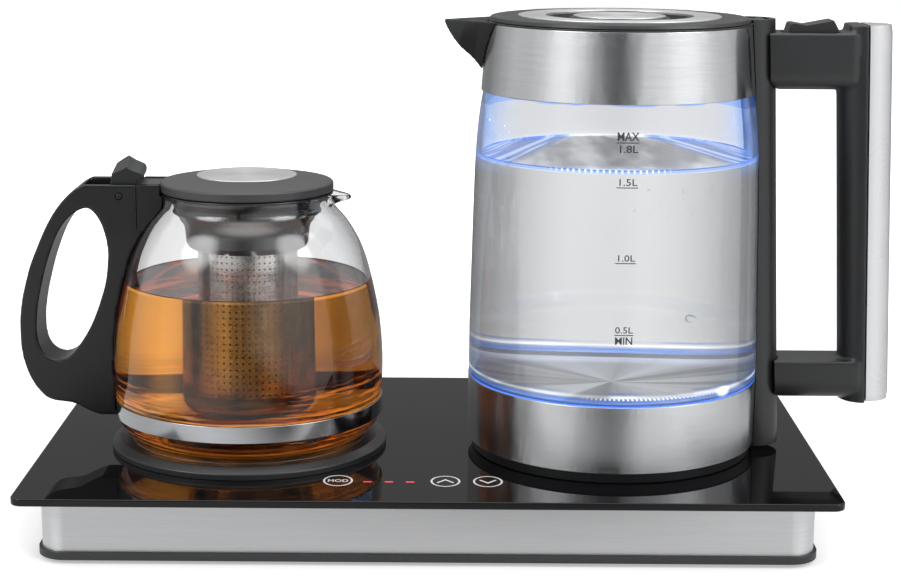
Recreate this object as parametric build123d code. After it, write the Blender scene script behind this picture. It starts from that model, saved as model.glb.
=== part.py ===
"""An automatic tea maker: a powered tray with a glass kettle and a glass teapot that lift off it.

All sizes are millimetres. The tray is modelled about its own centre with its feet at height 0. The kettle and
the teapot are each modelled about their own axis with height 0 at the top of the tray's glass plate, and are
put in place at the end, where the whole set is centred on its bounding box.
"""

import os
from math import cos, hypot, radians, sin, sqrt

from build123d import *

# Clearances
RUNNING = 0.05  # a pin in the hole it turns in, on the radius
SLIP = 0.3  # faces of pieces that move past each other
SEAT = 0.2  # pieces that are pushed together and stay
SCREW_GRIP = 0.02  # a screw in its pilot hole, on the radius

# Tray
PLATE_LENGTH = 390.0
PLATE_DEPTH = 235.0
PLATE_THICKNESS = 3.6
PLATE_CORNER = 6.0
SKIRT_INSET = 10.7
SKIRT_HEIGHT = 25.4
SKIRT_WALL = 0.8
SKIRT_CORNER = 13.0
PLINTH_HEIGHT = 3.8
PLINTH_OVERHANG = 1.6
PLINTH_FLOOR = 2.4
PLINTH_RIB_HEIGHT = 4.0
PLINTH_RIB_WALL = 1.8
FOOT_HEIGHT = 2.2
FOOT_RADIUS = 9.0
FOOT_RECESS = 0.8
FOOT_INSET = 24.0
FRAME_THICKNESS = 3.0
FRAME_WALL = 2.0
FRAME_WALL_HEIGHT = 12.0
BOSS_RADIUS = 4.2
BOSS_INSET = 9.0
MIDDLE_BOSS_ROOM = 35.5  # from the touch board's end to the middle bosses
COVER_SCREW_RADIUS = 1.5
COVER_SCREW_HEAD = 3.2
COVER_SCREW_HEAD_HEIGHT = 1.0
COVER_SCREW_LENGTH = 13.0
BOARD_THICKNESS = 1.6
VESSEL_SPACING = 184.4  # between the axes of the teapot and the kettle
VESSEL_SETBACK = 100.5  # from the plate's front edge to those axes

# Control electronics inside the tray
CONTROL_BOARD_LENGTH = 96.0
CONTROL_BOARD_DEPTH = 58.0
CONTROL_BOARD_SETBACK = 19.0
CONTROL_BOARD_STANDOFF = 7.0
STANDOFF_RADIUS = 3.0
RELAY_SIZE = (19.0, 15.5, 12.0)
RELAY_SETBACK = 28.0
TOUCH_INSET = 32.5
TOUCH_PADS_X = (-43.5, 8.1, 28.5)
TOUCH_LIGHTS_X = (-29.3, -19.0, -8.8)
TOUCH_BOARD_DEPTH = 20.0
TOUCH_BOARD_MARGIN = 14.0
TOUCH_BOARD_DROP = 0.8
TOUCH_SPRING_RADIUS = 5.0
TOUCH_SPRING_WALL = 1.0
TOUCH_LIGHT_RADIUS = 1.5
TOUCH_LIGHT_HEIGHT = 3.0

# Supply cord entry at the back of the tray
GLAND_X = 60.0
GLAND_BORE = 3.6
GLAND_RADIUS = 6.0
GLAND_FLANGE_RADIUS = 7.5
GLAND_FLANGE = 1.6
GLAND_NECK = 0.6
GLAND_TIP_WALL = 1.2
GLAND_REACH = 7.0
GLAND_INSIDE = 5.0

# Warming plate under the teapot
WARMER_RADIUS = 69.7
WARMER_EDGE = 2.9
WARMER_HEIGHT = 5.8
WARMER_BEVEL = 4.0
WARMER_LIP = 2.6
WARMER_LEDGE = 8.7
WARMING_PLATE_ROOM = 1.0
WARMING_PLATE_THICKNESS = 2.0
HEATER_THICKNESS = 2.5
HEATER_MARGIN = 6.0
TRAY_ROOM = 4.2
TRAY_WALL = 1.0
TRAY_FLANGE = 4.0
TRAY_DEPTH = 7.4
CUTOUT_RADIUS = 8.0
CUTOUT_HEIGHT = 5.0
WARMER_OPENING = WARMER_RADIUS - WARMER_LEDGE
WARMING_PLATE_RADIUS = WARMER_OPENING - WARMING_PLATE_ROOM
HEATER_RADIUS = WARMING_PLATE_RADIUS - HEATER_MARGIN
TRAY_RADIUS = WARMER_OPENING - TRAY_ROOM

# Cordless connector under the kettle
POST_RADIUS = 12.0
POST_HEIGHT = 13.0
POST_EDGE = 1.0
CONNECTOR_STEP = 5.0
CONNECTOR_STEP_HEIGHT = 1.5
CONNECTOR_FLANGE_WIDTH = 5.0
CONNECTOR_FLANGE_THICKNESS = 3.0
CONNECTOR_DEPTH = 19.0
CONTACT_INSET = 5.0
CONTACT_RING_WALL = 1.0
CONTACT_GROOVE = 0.8
CONTACT_PIN_RADIUS = 1.6
CONTACT_DEPTH = 8.0
SOCKET_WALL = 8.6
SOCKET_GAP = 0.4
SOCKET_ROOF = 2.4
SOCKET_FLANGE = 3.5
SOCKET_FLANGE_THICKNESS = 1.8
CONNECTOR_BODY_RADIUS = POST_RADIUS + CONNECTOR_STEP
CONNECTOR_FLANGE = CONNECTOR_BODY_RADIUS + CONNECTOR_FLANGE_WIDTH
CONTACT_RING_RADIUS = POST_RADIUS - CONTACT_INSET
SOCKET_RADIUS = POST_RADIUS + SOCKET_GAP + SOCKET_WALL

# Kettle body, heights above the plate
KETTLE_RADIUS = 72.6
BASE_RING_INSET = 2.2
BASE_RING_TOP_INSET = 0.7
BASE_RING_WALL = 4.0
BASE_FLOOR_HEIGHT = 3.2
BASE_FLOOR = 2.0
SOCKET_COLLAR_WALL = 2.0
SOCKET_COLLAR_HEIGHT = 15.0
BAND_LOW = 5.4
BAND_HEIGHT = 32.7
BAND_FLARE = 0.3
BAND_WALL = 0.8
BAND_FLANGE = 3.0
UPSTAND_WALL = 1.8
UPSTAND_DROP = 13.1
GLASS_WALL = 2.8
GLASS_GAP = 0.4
GLASS_HEIGHT = 151.5
# how far the glass has drawn in, at shares of its height
GLASS_SHAPE = ((0.0, 0.0), (0.1, 0.155), (0.6, 0.307), (1.6, 0.578), (2.4, 0.729), (3.4, 0.822), (4.7, 0.894),
               (6.2, 0.954), (7.2, 1.0))
HEATING_PLATE_GAP = 0.5
HEATING_PLATE_THICKNESS = 1.4
LIGHT_RING_WALL = 1.5
LIGHT_RING_HEIGHT = 1.1
SEAL_WALL = 1.4
SEAL_HEIGHT = 1.8
DIFFUSER_MARGIN = 11.6
DIFFUSER_THICKNESS = 5.0
ELEMENT_RADIUS = 4.0
ELEMENT_GAP_ANGLE = 30.0
STUD_RADIUS = 4.0
STUD_ROOM = 1.5
PROBE_RADIUS = 3.0
PROBE_LENGTH = 12.0
KETTLE_SCREW_RADIUS = 1.5
KETTLE_SCREW_HEAD = 3.0
KETTLE_SCREW_HEAD_HEIGHT = 1.0
KETTLE_SCREW_LENGTH = 17.0
COLLAR_OVERLAP = 8.5
COLLAR_HEIGHT = 33.3
COLLAR_LOW_INSET = 4.85
COLLAR_HIGH_INSET = 7.4
COLLAR_WALL = 0.8
RIM_WIDTH = 6.2
RIM_WALL = 2.0
RIM_TOP = 0.8
BASE_RING_RADIUS = KETTLE_RADIUS - BASE_RING_INSET
BASE_RING_TOP_RADIUS = KETTLE_RADIUS - BASE_RING_TOP_INSET
BAND_HIGH = BAND_LOW + BAND_HEIGHT
BAND_LOW_RADIUS = KETTLE_RADIUS
BAND_HIGH_RADIUS = KETTLE_RADIUS + BAND_FLARE
UPSTAND_HIGH = BAND_HIGH - UPSTAND_DROP
GLASS_LOW = BAND_HIGH + GLASS_GAP
GLASS_PROFILE = tuple((KETTLE_RADIUS - drop, GLASS_LOW + share * GLASS_HEIGHT) for drop, share in GLASS_SHAPE)
GLASS_HIGH = GLASS_PROFILE[-1][1]
HEATING_PLATE_RADIUS = BAND_HIGH_RADIUS - BAND_WALL - HEATING_PLATE_GAP
DIFFUSER_RADIUS = HEATING_PLATE_RADIUS - DIFFUSER_MARGIN
STUD_CIRCLE = SOCKET_RADIUS + SOCKET_FLANGE + STUD_RADIUS + STUD_ROOM
ELEMENT_RING_RADIUS = (STUD_CIRCLE + STUD_RADIUS + DIFFUSER_RADIUS) / 2
COLLAR_LOW = GLASS_HIGH - COLLAR_OVERLAP
COLLAR_HIGH = COLLAR_LOW + COLLAR_HEIGHT
COLLAR_LOW_RADIUS = KETTLE_RADIUS - COLLAR_LOW_INSET
COLLAR_HIGH_RADIUS = KETTLE_RADIUS - COLLAR_HIGH_INSET
RIM_RADIUS = COLLAR_HIGH_RADIUS - RIM_WIDTH

# Kettle spout
SPOUT_LENGTH = 20.9
SPOUT_OVERLAP = 4.2
SPOUT_RISE = 1.2
SPOUT_DROP = 25.0
SPOUT_HALF_WIDTH = 23.3
SPOUT_BULGE = 1.6
SPOUT_EDGE = 0.3
SPOUT_WALL = 1.8
SPOUT_FLOOR_DROP = 16.3
SPOUT_STATIONS = (0.016, 0.243, 0.522, 0.801, 1.12)  # of the way from its tip to its root
PASSAGE_STATIONS = (0.16, 0.402, 0.681, 0.96, 1.279)
FILTER_WALL = 1.0
FILTER_ANGLE = 34.0
FILTER_DROP = 16.8
FILTER_HEIGHT = 15.0
SPOUT_REACH = COLLAR_HIGH_RADIUS + SPOUT_LENGTH
SPOUT_ROOT = COLLAR_HIGH_RADIUS - SPOUT_OVERLAP
SPOUT_TOP = COLLAR_HIGH + SPOUT_RISE
SPOUT_FLOOR = COLLAR_HIGH - SPOUT_FLOOR_DROP
FILTER_LOW = COLLAR_HIGH - FILTER_DROP

# Kettle lid
LID_REVEAL = 0.9
LID_RISE = 3.2
LID_EDGE = 1.8
LID_EDGE_ROUND = 0.3
LID_WALL = 2.0
LID_MARGIN = 14.3
LID_TRIM_WIDTH = 13.7
LID_TRIM_THICKNESS = 1.6
LID_TRIM_SEAT = 1.1
LID_RECESS_DEPTH = 6.5
LID_RECESS_SLOPE = 1.5
LID_RECESS_WIDTH = 11.7
LID_DISC_MARGIN = 1.8
LID_DISC_THICKNESS = 1.0
LID_KNOB_DROP = 0.6
LINER_GAP = 3.5
LINER_DEPTH = 11.0
LID_SEAL_WIDTH = 1.7
LID_SEAL_HEIGHT = 3.0
LID_SEAL_DROP = 7.8
LID_HINGE_OUT = 4.3
LID_HINGE_DROP = 0.4
KNUCKLE_RADIUS = 3.2
KNUCKLE_HALF = 7.7
HINGE_PIN_RADIUS = 1.5
HINGE_PIN_HALF = 11.0
LID_RADIUS = COLLAR_HIGH_RADIUS - LID_REVEAL
LID_TOP = COLLAR_HIGH + LID_RISE
LID_TRIM_OUTER = LID_RADIUS - LID_MARGIN
LID_TRIM_INNER = LID_TRIM_OUTER - LID_TRIM_WIDTH
LID_KNOB_RADIUS = LID_TRIM_INNER - LID_RECESS_WIDTH
LID_DISC_RADIUS = LID_KNOB_RADIUS - LID_DISC_MARGIN
LINER_RADIUS = RIM_RADIUS - LINER_GAP
LID_SEAL_LOW = COLLAR_HIGH - LID_SEAL_DROP
LID_HINGE_X = COLLAR_HIGH_RADIUS + LID_HINGE_OUT
LID_HINGE_Z = COLLAR_HIGH - LID_HINGE_DROP

# Kettle handle
SPINE_LOW = 3.0
SPINE_RISE = 2.7
SPINE_LOW_DEPTH = 13.2
SPINE_HIGH_DEPTH = 11.4
SPINE_HALF_WIDTH = 14.0
SPINE_ROUND = 13.0
ARM_HALF_WIDTH = 13.0
ARM_CORNER = 9.0
ARM_TOP_CHAMFER = 1.0
UPPER_ARM_DROP = 3.6
UPPER_ARM_DEPTH = 28.3
UPPER_ARM_LENGTH = 43.0
LOWER_ARM_RISE = 9.0
LOWER_ARM_DEPTH = 20.1
LOWER_ARM_LENGTH = 51.4
GRIP_TAIL = 2.0
GRIP_RISE = 0.4
GRIP_HALF_WIDTH = 12.5
GRIP_TOP_REACH = (34.1, 48.3, 61.7)  # its inside, seam and outside beyond the kettle's side
GRIP_LOW_REACH = (43.3, 55.3, 68.6)
GRIP_TAIL_REACH = 39.4
GRIP_CORNER = 6.5
COVER_WALL = 1.6
HANDLE_SCREW_RADIUS = 1.9
HANDLE_SCREW_HEAD = 3.4
HANDLE_SCREW_HEAD_HEIGHT = 1.8
HANDLE_SCREW_LENGTH = 24.0
SPINE_HIGH = COLLAR_HIGH + SPINE_RISE
SPINE_LOW_REACH = KETTLE_RADIUS + SPINE_LOW_DEPTH
SPINE_HIGH_REACH = COLLAR_HIGH_RADIUS + SPINE_HIGH_DEPTH
UPPER_ARM_HIGH = COLLAR_HIGH - UPPER_ARM_DROP
UPPER_ARM_LOW = UPPER_ARM_HIGH - UPPER_ARM_DEPTH
UPPER_ARM_END = KETTLE_RADIUS + UPPER_ARM_LENGTH
LOWER_ARM_HIGH = BAND_HIGH + LOWER_ARM_RISE
LOWER_ARM_LOW = LOWER_ARM_HIGH - LOWER_ARM_DEPTH
LOWER_ARM_END = KETTLE_RADIUS + LOWER_ARM_LENGTH
GRIP_LOW = LOWER_ARM_LOW - GRIP_TAIL
GRIP_HIGH = COLLAR_HIGH + GRIP_RISE
GRIP_TOP_X = tuple(KETTLE_RADIUS + reach for reach in GRIP_TOP_REACH)
GRIP_LOW_X = tuple(KETTLE_RADIUS + reach for reach in GRIP_LOW_REACH)
GRIP_TAIL_X = KETTLE_RADIUS + GRIP_TAIL_REACH

# Lid button on the kettle's upper arm, with the rises of its top above the arm
BUTTON_SETBACK = 8.8
BUTTON_LENGTH = 27.3
BUTTON_HALF_WIDTH = 8.0
BUTTON_BUMP_IN = 3.2
BUTTON_BUMP_RISE = 4.6
BUTTON_DIP_IN = 9.6
BUTTON_DIP_RISE = 3.5
BUTTON_PEAK_IN = 4.3
BUTTON_PEAK_RISE = 6.0
BUTTON_SKIRT = 1.5
BUTTON_DEPTH = 5.7
BUTTON_TAPER = 1.6
BUTTON_PIN_IN = 4.1
BUTTON_PIN_RISE = 3.0
BUTTON_PIN_RADIUS = 1.2
BUTTON_PIN_INSET = 2.0
BUTTON_TRAVEL = 6.0
SPRING_RADIUS = 3.0
SPRING_WALL = 0.8
SPRING_IN = 6.7
BUTTON_LEFT = KETTLE_RADIUS + BUTTON_SETBACK
BUTTON_RIGHT = BUTTON_LEFT + BUTTON_LENGTH
BUTTON_LOW = UPPER_ARM_HIGH - BUTTON_DEPTH
BUTTON_POCKET_LOW = BUTTON_LOW - BUTTON_TRAVEL
BUTTON_PIN_X = BUTTON_LEFT + BUTTON_PIN_IN
BUTTON_PIN_Z = BUTTON_LOW + BUTTON_PIN_RISE
SPRING_X = BUTTON_RIGHT - SPRING_IN

# Teapot body, heights above the plate
POT_STAND = 0.2
POT_HEIGHT = 123.0
POT_WALL = 2.2
POT_NECK_RADIUS = 43.1
# how far the glass stands out beyond its neck, at shares of its height
POT_SHAPE = ((6.9, 0.0), (12.9, 0.007), (18.4, 0.028), (22.1, 0.06), (23.6, 0.098), (23.8, 0.154), (24.4, 0.211),
             (24.7, 0.276), (24.6, 0.35), (23.9, 0.431), (22.7, 0.512), (20.8, 0.593), (18.7, 0.667), (16.2, 0.74),
             (12.5, 0.813), (7.4, 0.882), (2.9, 0.925), (0.5, 0.951), (0.0, 0.976), (0.0, 1.0))
POT_BAND_SHARES = (0.095, 0.162)
POT_BAND_WALL = 0.7
LIP_OUT = 9.0
LIP_HALF_WIDTH = 17.0
LIP_DROP = 6.5
LIP_TIP_DROP = 1.2
LIP_ROOT = 6.0
STRAINER_RADIUS = 25.0
STRAINER_WALL = 0.5
STRAINER_ROOM = 14.5
STRAINER_ROUND = 8.0
STRAINER_RIM_WIDTH = 2.4
STRAINER_RIM_HEIGHT = 1.6
STRAINER_FOOT_RADIUS = 12.5
STRAINER_FOOT_HEIGHT = 1.2
STRAINER_LEDGE = 1.5
FUNNEL_WALL = 1.6
FUNNEL_FLANGE = 1.0
FUNNEL_UPPER = ((2.7, 1.6), (5.9, 4.2))  # inside the neck, below the rim
FUNNEL_LOWER = ((6.2, 17.0), (5.4, 24.0), (4.2, 26.8))  # outside the strainer, below the rim
POT_LOW = WARMER_HEIGHT + POT_STAND


def pot_height(share):
    return POT_LOW + share * POT_HEIGHT


POT_PROFILE = tuple((POT_NECK_RADIUS + out, pot_height(share)) for out, share in POT_SHAPE)
POT_RIM = POT_PROFILE[-1][1]
POT_BAND_LOW, POT_BAND_HIGH = [pot_height(share) for share in POT_BAND_SHARES]
LIP_REACH = POT_NECK_RADIUS + LIP_OUT
STRAINER_LOW = POT_LOW + STRAINER_ROOM
FUNNEL_PROFILE = (tuple((POT_NECK_RADIUS - room, POT_RIM - drop) for room, drop in FUNNEL_UPPER)
                  + tuple((STRAINER_RADIUS + room, POT_RIM - drop) for room, drop in FUNNEL_LOWER))

# Teapot lid and thumb lever, with heights above the pot's rim
POT_LID_OVERHANG = 0.2
POT_LID_RISE = 1.3
POT_LID_EDGE_RISE = 6.2
POT_LID_CROWN_RISE = 9.0
POT_LID_ROUND = 0.8
POT_LID_WALL = 2.0
INSERT_MARGIN = 18.3
INSERT_THICKNESS = 0.8
INSERT_SINK = 0.4
LEVER_PIN_OUT = 18.7
LEVER_PIN_RADIUS = 1.5
LEVER_HALF_WIDTH = 12.0
LEVER_BACK = 4.4
LEVER_FRONT = 8.8
LEVER_BASE_RISE = 6.4
LEVER_EAVE_RISE = 12.2
LEVER_RIDGE_RISE = 16.2
LEVER_RIDGE_IN = 2.4
LEVER_HUB_RADIUS = 4.6
LEVER_NECK_HALF = 9.0
LEVER_NECK_OVERLAP = 3.0
POT_LID_RADIUS = POT_NECK_RADIUS + POT_LID_OVERHANG
POT_LID_LOW = POT_RIM + POT_LID_RISE
POT_LID_EDGE = POT_RIM + POT_LID_EDGE_RISE
POT_LID_CROWN = POT_RIM + POT_LID_CROWN_RISE
INSERT_RADIUS = POT_LID_RADIUS - INSERT_MARGIN
LEVER_PIN_X = -POT_NECK_RADIUS - LEVER_PIN_OUT
LEVER_PIN_Z = POT_RIM
LEVER_LEFT = LEVER_PIN_X - LEVER_BACK
LEVER_RIGHT = LEVER_PIN_X + LEVER_FRONT
LEVER_RIDGE_X = LEVER_PIN_X + LEVER_RIDGE_IN
LEVER_BASE = POT_RIM + LEVER_BASE_RISE
LEVER_EAVE = POT_RIM + LEVER_EAVE_RISE
LEVER_RIDGE = POT_RIM + LEVER_RIDGE_RISE

# Teapot handle: outlines as distances beyond the neck and shares of the pot's height
POT_HANDLE_HALF_TOP = 15.5
POT_HANDLE_HALF_LOW = 11.0
POT_HANDLE_TAPER = 25.0
POT_HANDLE_RISE = 5.6
POT_HANDLE_BEND = 4.0
POT_HANDLE_BACK = ((40.4, 1.028), (46.4, 0.982), (51.8, 0.924), (56.5, 0.854), (60.1, 0.789), (63.9, 0.714),
                   (67.0, 0.629), (69.3, 0.546), (70.3, 0.461), (70.2, 0.376), (68.4, 0.291), (64.4, 0.215),
                   (59.3, 0.162))
POT_HANDLE_FOOT = ((54.9, 0.145), (45.2, 0.133), (38.0, 0.105), (30.8, 0.083))  # on from the back's last point
POT_HANDLE_LOOP = ((35.9, 0.95), (41.1, 0.93), (45.5, 0.896), (49.2, 0.852), (52.3, 0.797), (55.9, 0.714),
                   (58.7, 0.629), (60.9, 0.546), (62.0, 0.461), (61.5, 0.394), (57.9, 0.335), (51.5, 0.315),
                   (45.3, 0.337), (41.1, 0.378), (34.7, 0.463), (30.4, 0.548), (27.1, 0.632), (25.4, 0.715),
                   (25.2, 0.799), (26.9, 0.865), (30.5, 0.924))
BRACKET_OUT = 9.9
BRACKET_SHARE = 0.8585
LID_ROOM = 1.2
POCKET_REACH = 18.7
POCKET_DROP = 2.8
POT_HANDLE_TOP = POT_RIM + POT_HANDLE_RISE
BRACKET_SEAM = -POT_NECK_RADIUS - BRACKET_OUT
BRACKET_LOW = pot_height(BRACKET_SHARE)
POCKET_LEFT = LEVER_PIN_X - POCKET_REACH
POCKET_FLOOR = POT_RIM - POCKET_DROP

# Levels and places on the tray, worked out from the sizes above
PLINTH_LOW = FOOT_HEIGHT
PLINTH_HIGH = PLINTH_LOW + PLINTH_HEIGHT
PLINTH_INSIDE = PLINTH_LOW + PLINTH_FLOOR
SKIRT_HIGH = PLINTH_HIGH + SKIRT_HEIGHT
PLATE_TOP = SKIRT_HIGH + PLATE_THICKNESS
FRAME_LOW = SKIRT_HIGH - FRAME_THICKNESS
SKIRT_LENGTH = PLATE_LENGTH - 2 * SKIRT_INSET
SKIRT_DEPTH = PLATE_DEPTH - 2 * SKIRT_INSET
INSIDE_LENGTH = SKIRT_LENGTH - 2 * SKIRT_WALL
INSIDE_DEPTH = SKIRT_DEPTH - 2 * SKIRT_WALL
INSIDE_CORNER = SKIRT_CORNER - SKIRT_WALL
KETTLE_X = VESSEL_SPACING / 2
TEAPOT_X = -VESSEL_SPACING / 2
KETTLE_Y = TEAPOT_Y = VESSEL_SETBACK - PLATE_DEPTH / 2
TOUCH_Y = TOUCH_INSET - PLATE_DEPTH / 2
CONTROL_BOARD_Y = INSIDE_DEPTH / 2 - CONTROL_BOARD_SETBACK - CONTROL_BOARD_DEPTH / 2
MIDDLE_BOSS_X = max(TOUCH_PADS_X) + TOUCH_BOARD_MARGIN + MIDDLE_BOSS_ROOM


def turned(outline):
    """A solid turned about Z from points of radius and height."""
    return revolve(make_face(Polyline(*[(r, 0, z) for r, z in outline], close=True)), Axis.Z)


def ring(outer, inner, low, high):
    return turned([(inner, low), (outer, low), (outer, high), (inner, high)])


def disc(radius, low, high):
    return Pos(0, 0, (low + high) / 2) * Cylinder(radius, high - low)


def block(x, y, z):
    """A box between a low and a high value on each axis."""
    size = [high - low for low, high in (x, y, z)]
    middle = [(high + low) / 2 for low, high in (x, y, z)]
    return Pos(*middle) * Box(*size)


def slab(length, depth, corner, low, high):
    """A plate with rounded corners between two heights."""
    return extrude(Pos(0, 0, low) * RectangleRounded(length, depth, corner), high - low)


def rod_y(radius, half, x, z):
    """A round bar along Y."""
    return Pos(x, 0, z) * Rot(90, 0, 0) * Cylinder(radius, 2 * half)


def rod_x(radius, start, end, z):
    """A round bar along X."""
    return Pos((start + end) / 2, 0, z) * Rot(0, 90, 0) * Cylinder(radius, end - start)


def side_plate(outline, half):
    """A plate in the XZ plane, as wide each way along Y as half."""
    face = make_face(Polyline(*[(x, 0, z) for x, z in outline], close=True))
    return extrude(face, half, dir=(0, 1, 0), both=True)


def inset(points, wall):
    """The points of a profile moved inwards by a wall."""
    moved = []
    for place, (r, z) in enumerate(points):
        before = points[max(place - 1, 0)]
        after = points[min(place + 1, len(points) - 1)]
        run, rise = after[0] - before[0], after[1] - before[1]
        length = hypot(run, rise)
        moved.append((r - wall * rise / length, z + wall * run / length))
    return moved


def curve(points):
    return Spline(*[(r, 0, z) for r, z in points])


def between(start, end, height):
    """The radius at a height on the line between two points of radius and height."""
    share = (height - start[1]) / (end[1] - start[1])
    return start[0] + share * (end[0] - start[0])


def corners(length, depth, inset_by):
    x, y = length / 2 - inset_by, depth / 2 - inset_by
    return [(-x, -y), (x, -y), (x, y), (-x, y)]


def group(solids):
    return Compound(children=list(solids))


# Tray

def boss_places():
    ends = corners(INSIDE_LENGTH, INSIDE_DEPTH, BOSS_INSET)
    side = INSIDE_DEPTH / 2 - BOSS_INSET
    return ends + [(MIDDLE_BOSS_X, -side), (MIDDLE_BOSS_X, side)]


def glass_top():
    plate = slab(PLATE_LENGTH, PLATE_DEPTH, PLATE_CORNER, SKIRT_HIGH, PLATE_TOP)
    plate -= Pos(TEAPOT_X, TEAPOT_Y) * disc(WARMER_OPENING, SKIRT_HIGH, PLATE_TOP)
    return plate - Pos(KETTLE_X, KETTLE_Y) * disc(CONNECTOR_BODY_RADIUS + SEAT, SKIRT_HIGH, PLATE_TOP)


def steel_skirt():
    outside = slab(SKIRT_LENGTH, SKIRT_DEPTH, SKIRT_CORNER, PLINTH_HIGH, SKIRT_HIGH)
    inside = slab(INSIDE_LENGTH, INSIDE_DEPTH, INSIDE_CORNER, PLINTH_HIGH, SKIRT_HIGH)
    return outside - inside - gland_hole()


def gland_height():
    return (PLINTH_HIGH + SKIRT_HIGH) / 2


def gland_hole():
    back = SKIRT_DEPTH / 2
    bar = rod_y(GLAND_RADIUS + SEAT, SKIRT_INSET + FRAME_WALL, GLAND_X, gland_height())
    return Pos(0, back, 0) * bar


def bottom_cover():
    length, depth = SKIRT_LENGTH + 2 * PLINTH_OVERHANG, SKIRT_DEPTH + 2 * PLINTH_OVERHANG
    cover = slab(length, depth, SKIRT_CORNER + PLINTH_OVERHANG, PLINTH_LOW, PLINTH_HIGH)
    rib_length, rib_depth = INSIDE_LENGTH - 2 * SEAT, INSIDE_DEPTH - 2 * SEAT
    cover += slab(rib_length, rib_depth, INSIDE_CORNER - SEAT, PLINTH_HIGH, PLINTH_HIGH + PLINTH_RIB_HEIGHT)
    cover -= slab(rib_length - 2 * PLINTH_RIB_WALL, rib_depth - 2 * PLINTH_RIB_WALL,
                  INSIDE_CORNER - SEAT - PLINTH_RIB_WALL, PLINTH_INSIDE, PLINTH_HIGH + PLINTH_RIB_HEIGHT)
    for x, y in corners(length, depth, FOOT_INSET):
        cover -= Pos(x, y) * disc(FOOT_RADIUS + SEAT, PLINTH_LOW, PLINTH_LOW + FOOT_RECESS)
    for x, y in board_corners():
        cover += Pos(x, y) * disc(STANDOFF_RADIUS, PLINTH_INSIDE, PLINTH_INSIDE + CONTROL_BOARD_STANDOFF)
    for x, y in boss_places():
        cover -= Pos(x, y) * disc(COVER_SCREW_RADIUS + SEAT, PLINTH_LOW, PLINTH_INSIDE)
        cover -= Pos(x, y) * disc(COVER_SCREW_HEAD + SEAT, PLINTH_LOW, PLINTH_LOW + COVER_SCREW_HEAD_HEIGHT)
    return cover


def rubber_feet():
    length, depth = SKIRT_LENGTH + 2 * PLINTH_OVERHANG, SKIRT_DEPTH + 2 * PLINTH_OVERHANG
    return group(Pos(x, y) * disc(FOOT_RADIUS, 0, PLINTH_LOW + FOOT_RECESS) for x, y in corners(length, depth, FOOT_INSET))


def upper_frame():
    """The moulded frame that carries the glass, with a wall inside the skirt and bosses down to the cover."""
    length, depth = INSIDE_LENGTH - 2 * SEAT, INSIDE_DEPTH - 2 * SEAT
    corner = INSIDE_CORNER - SEAT
    frame = slab(length, depth, corner, SKIRT_HIGH - FRAME_WALL_HEIGHT, SKIRT_HIGH)
    frame -= slab(length - 2 * FRAME_WALL, depth - 2 * FRAME_WALL, corner - FRAME_WALL,
                  SKIRT_HIGH - FRAME_WALL_HEIGHT, FRAME_LOW)
    for x, y in boss_places():
        frame += Pos(x, y) * disc(BOSS_RADIUS, PLINTH_INSIDE, FRAME_LOW)
        reach = COVER_SCREW_LENGTH - PLINTH_FLOOR + COVER_SCREW_HEAD_HEIGHT
        pilot = disc(COVER_SCREW_RADIUS + SCREW_GRIP, PLINTH_INSIDE, PLINTH_INSIDE + reach)
        frame -= Pos(x, y) * pilot
    frame -= Pos(TEAPOT_X, TEAPOT_Y) * disc(TRAY_RADIUS + SEAT, FRAME_LOW, SKIRT_HIGH)
    frame -= Pos(KETTLE_X, KETTLE_Y) * disc(CONNECTOR_BODY_RADIUS + SEAT, FRAME_LOW, SKIRT_HIGH)
    window_x, window_y = touch_window()
    frame -= block(window_x, window_y, (FRAME_LOW, SKIRT_HIGH))
    board_x, board_y = touch_span()
    for x in board_x:
        for y in board_y:
            inward_x = x + STANDOFF_RADIUS * (1 if x < 0 else -1)
            pad = Pos(inward_x, y) * disc(STANDOFF_RADIUS, FRAME_LOW - TOUCH_BOARD_DROP, FRAME_LOW)
            frame += pad
    return frame - gland_hole()


def cover_screws():
    low = PLINTH_LOW
    head = disc(COVER_SCREW_HEAD, low, low + COVER_SCREW_HEAD_HEIGHT)
    screw = head + disc(COVER_SCREW_RADIUS, low, low + COVER_SCREW_LENGTH)
    return group(Pos(x, y) * screw for x, y in boss_places())


def board_corners():
    x, y = CONTROL_BOARD_LENGTH / 2 - 2 * STANDOFF_RADIUS, CONTROL_BOARD_DEPTH / 2 - 2 * STANDOFF_RADIUS
    return [(i * x, CONTROL_BOARD_Y + j * y) for i in (-1, 1) for j in (-1, 1)]


def board_top():
    return PLINTH_INSIDE + CONTROL_BOARD_STANDOFF + BOARD_THICKNESS


def control_board():
    x, y = CONTROL_BOARD_LENGTH / 2, CONTROL_BOARD_DEPTH / 2
    return block((-x, x), (CONTROL_BOARD_Y - y, CONTROL_BOARD_Y + y),
                 (board_top() - BOARD_THICKNESS, board_top()))


def on_board(size, x, y):
    """A component standing on the control board, at a place measured from the board's centre."""
    length, depth, height = size
    y += CONTROL_BOARD_Y
    return block((x - length / 2, x + length / 2), (y - depth / 2, y + depth / 2), (board_top(), board_top() + height))


def power_relay():
    return on_board(RELAY_SIZE, -RELAY_SETBACK, 0)


def touch_span():
    """Where the touch board lies: low and high along X and along Y."""
    places = TOUCH_PADS_X + TOUCH_LIGHTS_X
    x = (min(places) - TOUCH_BOARD_MARGIN, max(places) + TOUCH_BOARD_MARGIN)
    return x, (TOUCH_Y - TOUCH_BOARD_DEPTH / 2, TOUCH_Y + TOUCH_BOARD_DEPTH / 2)


def touch_window():
    x, y = touch_span()
    edge = 2 * STANDOFF_RADIUS
    return (x[0] + edge, x[1] - edge), (y[0] + STANDOFF_RADIUS, y[1] - STANDOFF_RADIUS)


def touch_board_top():
    return FRAME_LOW - TOUCH_BOARD_DROP


def touch_board():
    x, y = touch_span()
    return block(x, y, (touch_board_top() - BOARD_THICKNESS, touch_board_top()))


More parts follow.
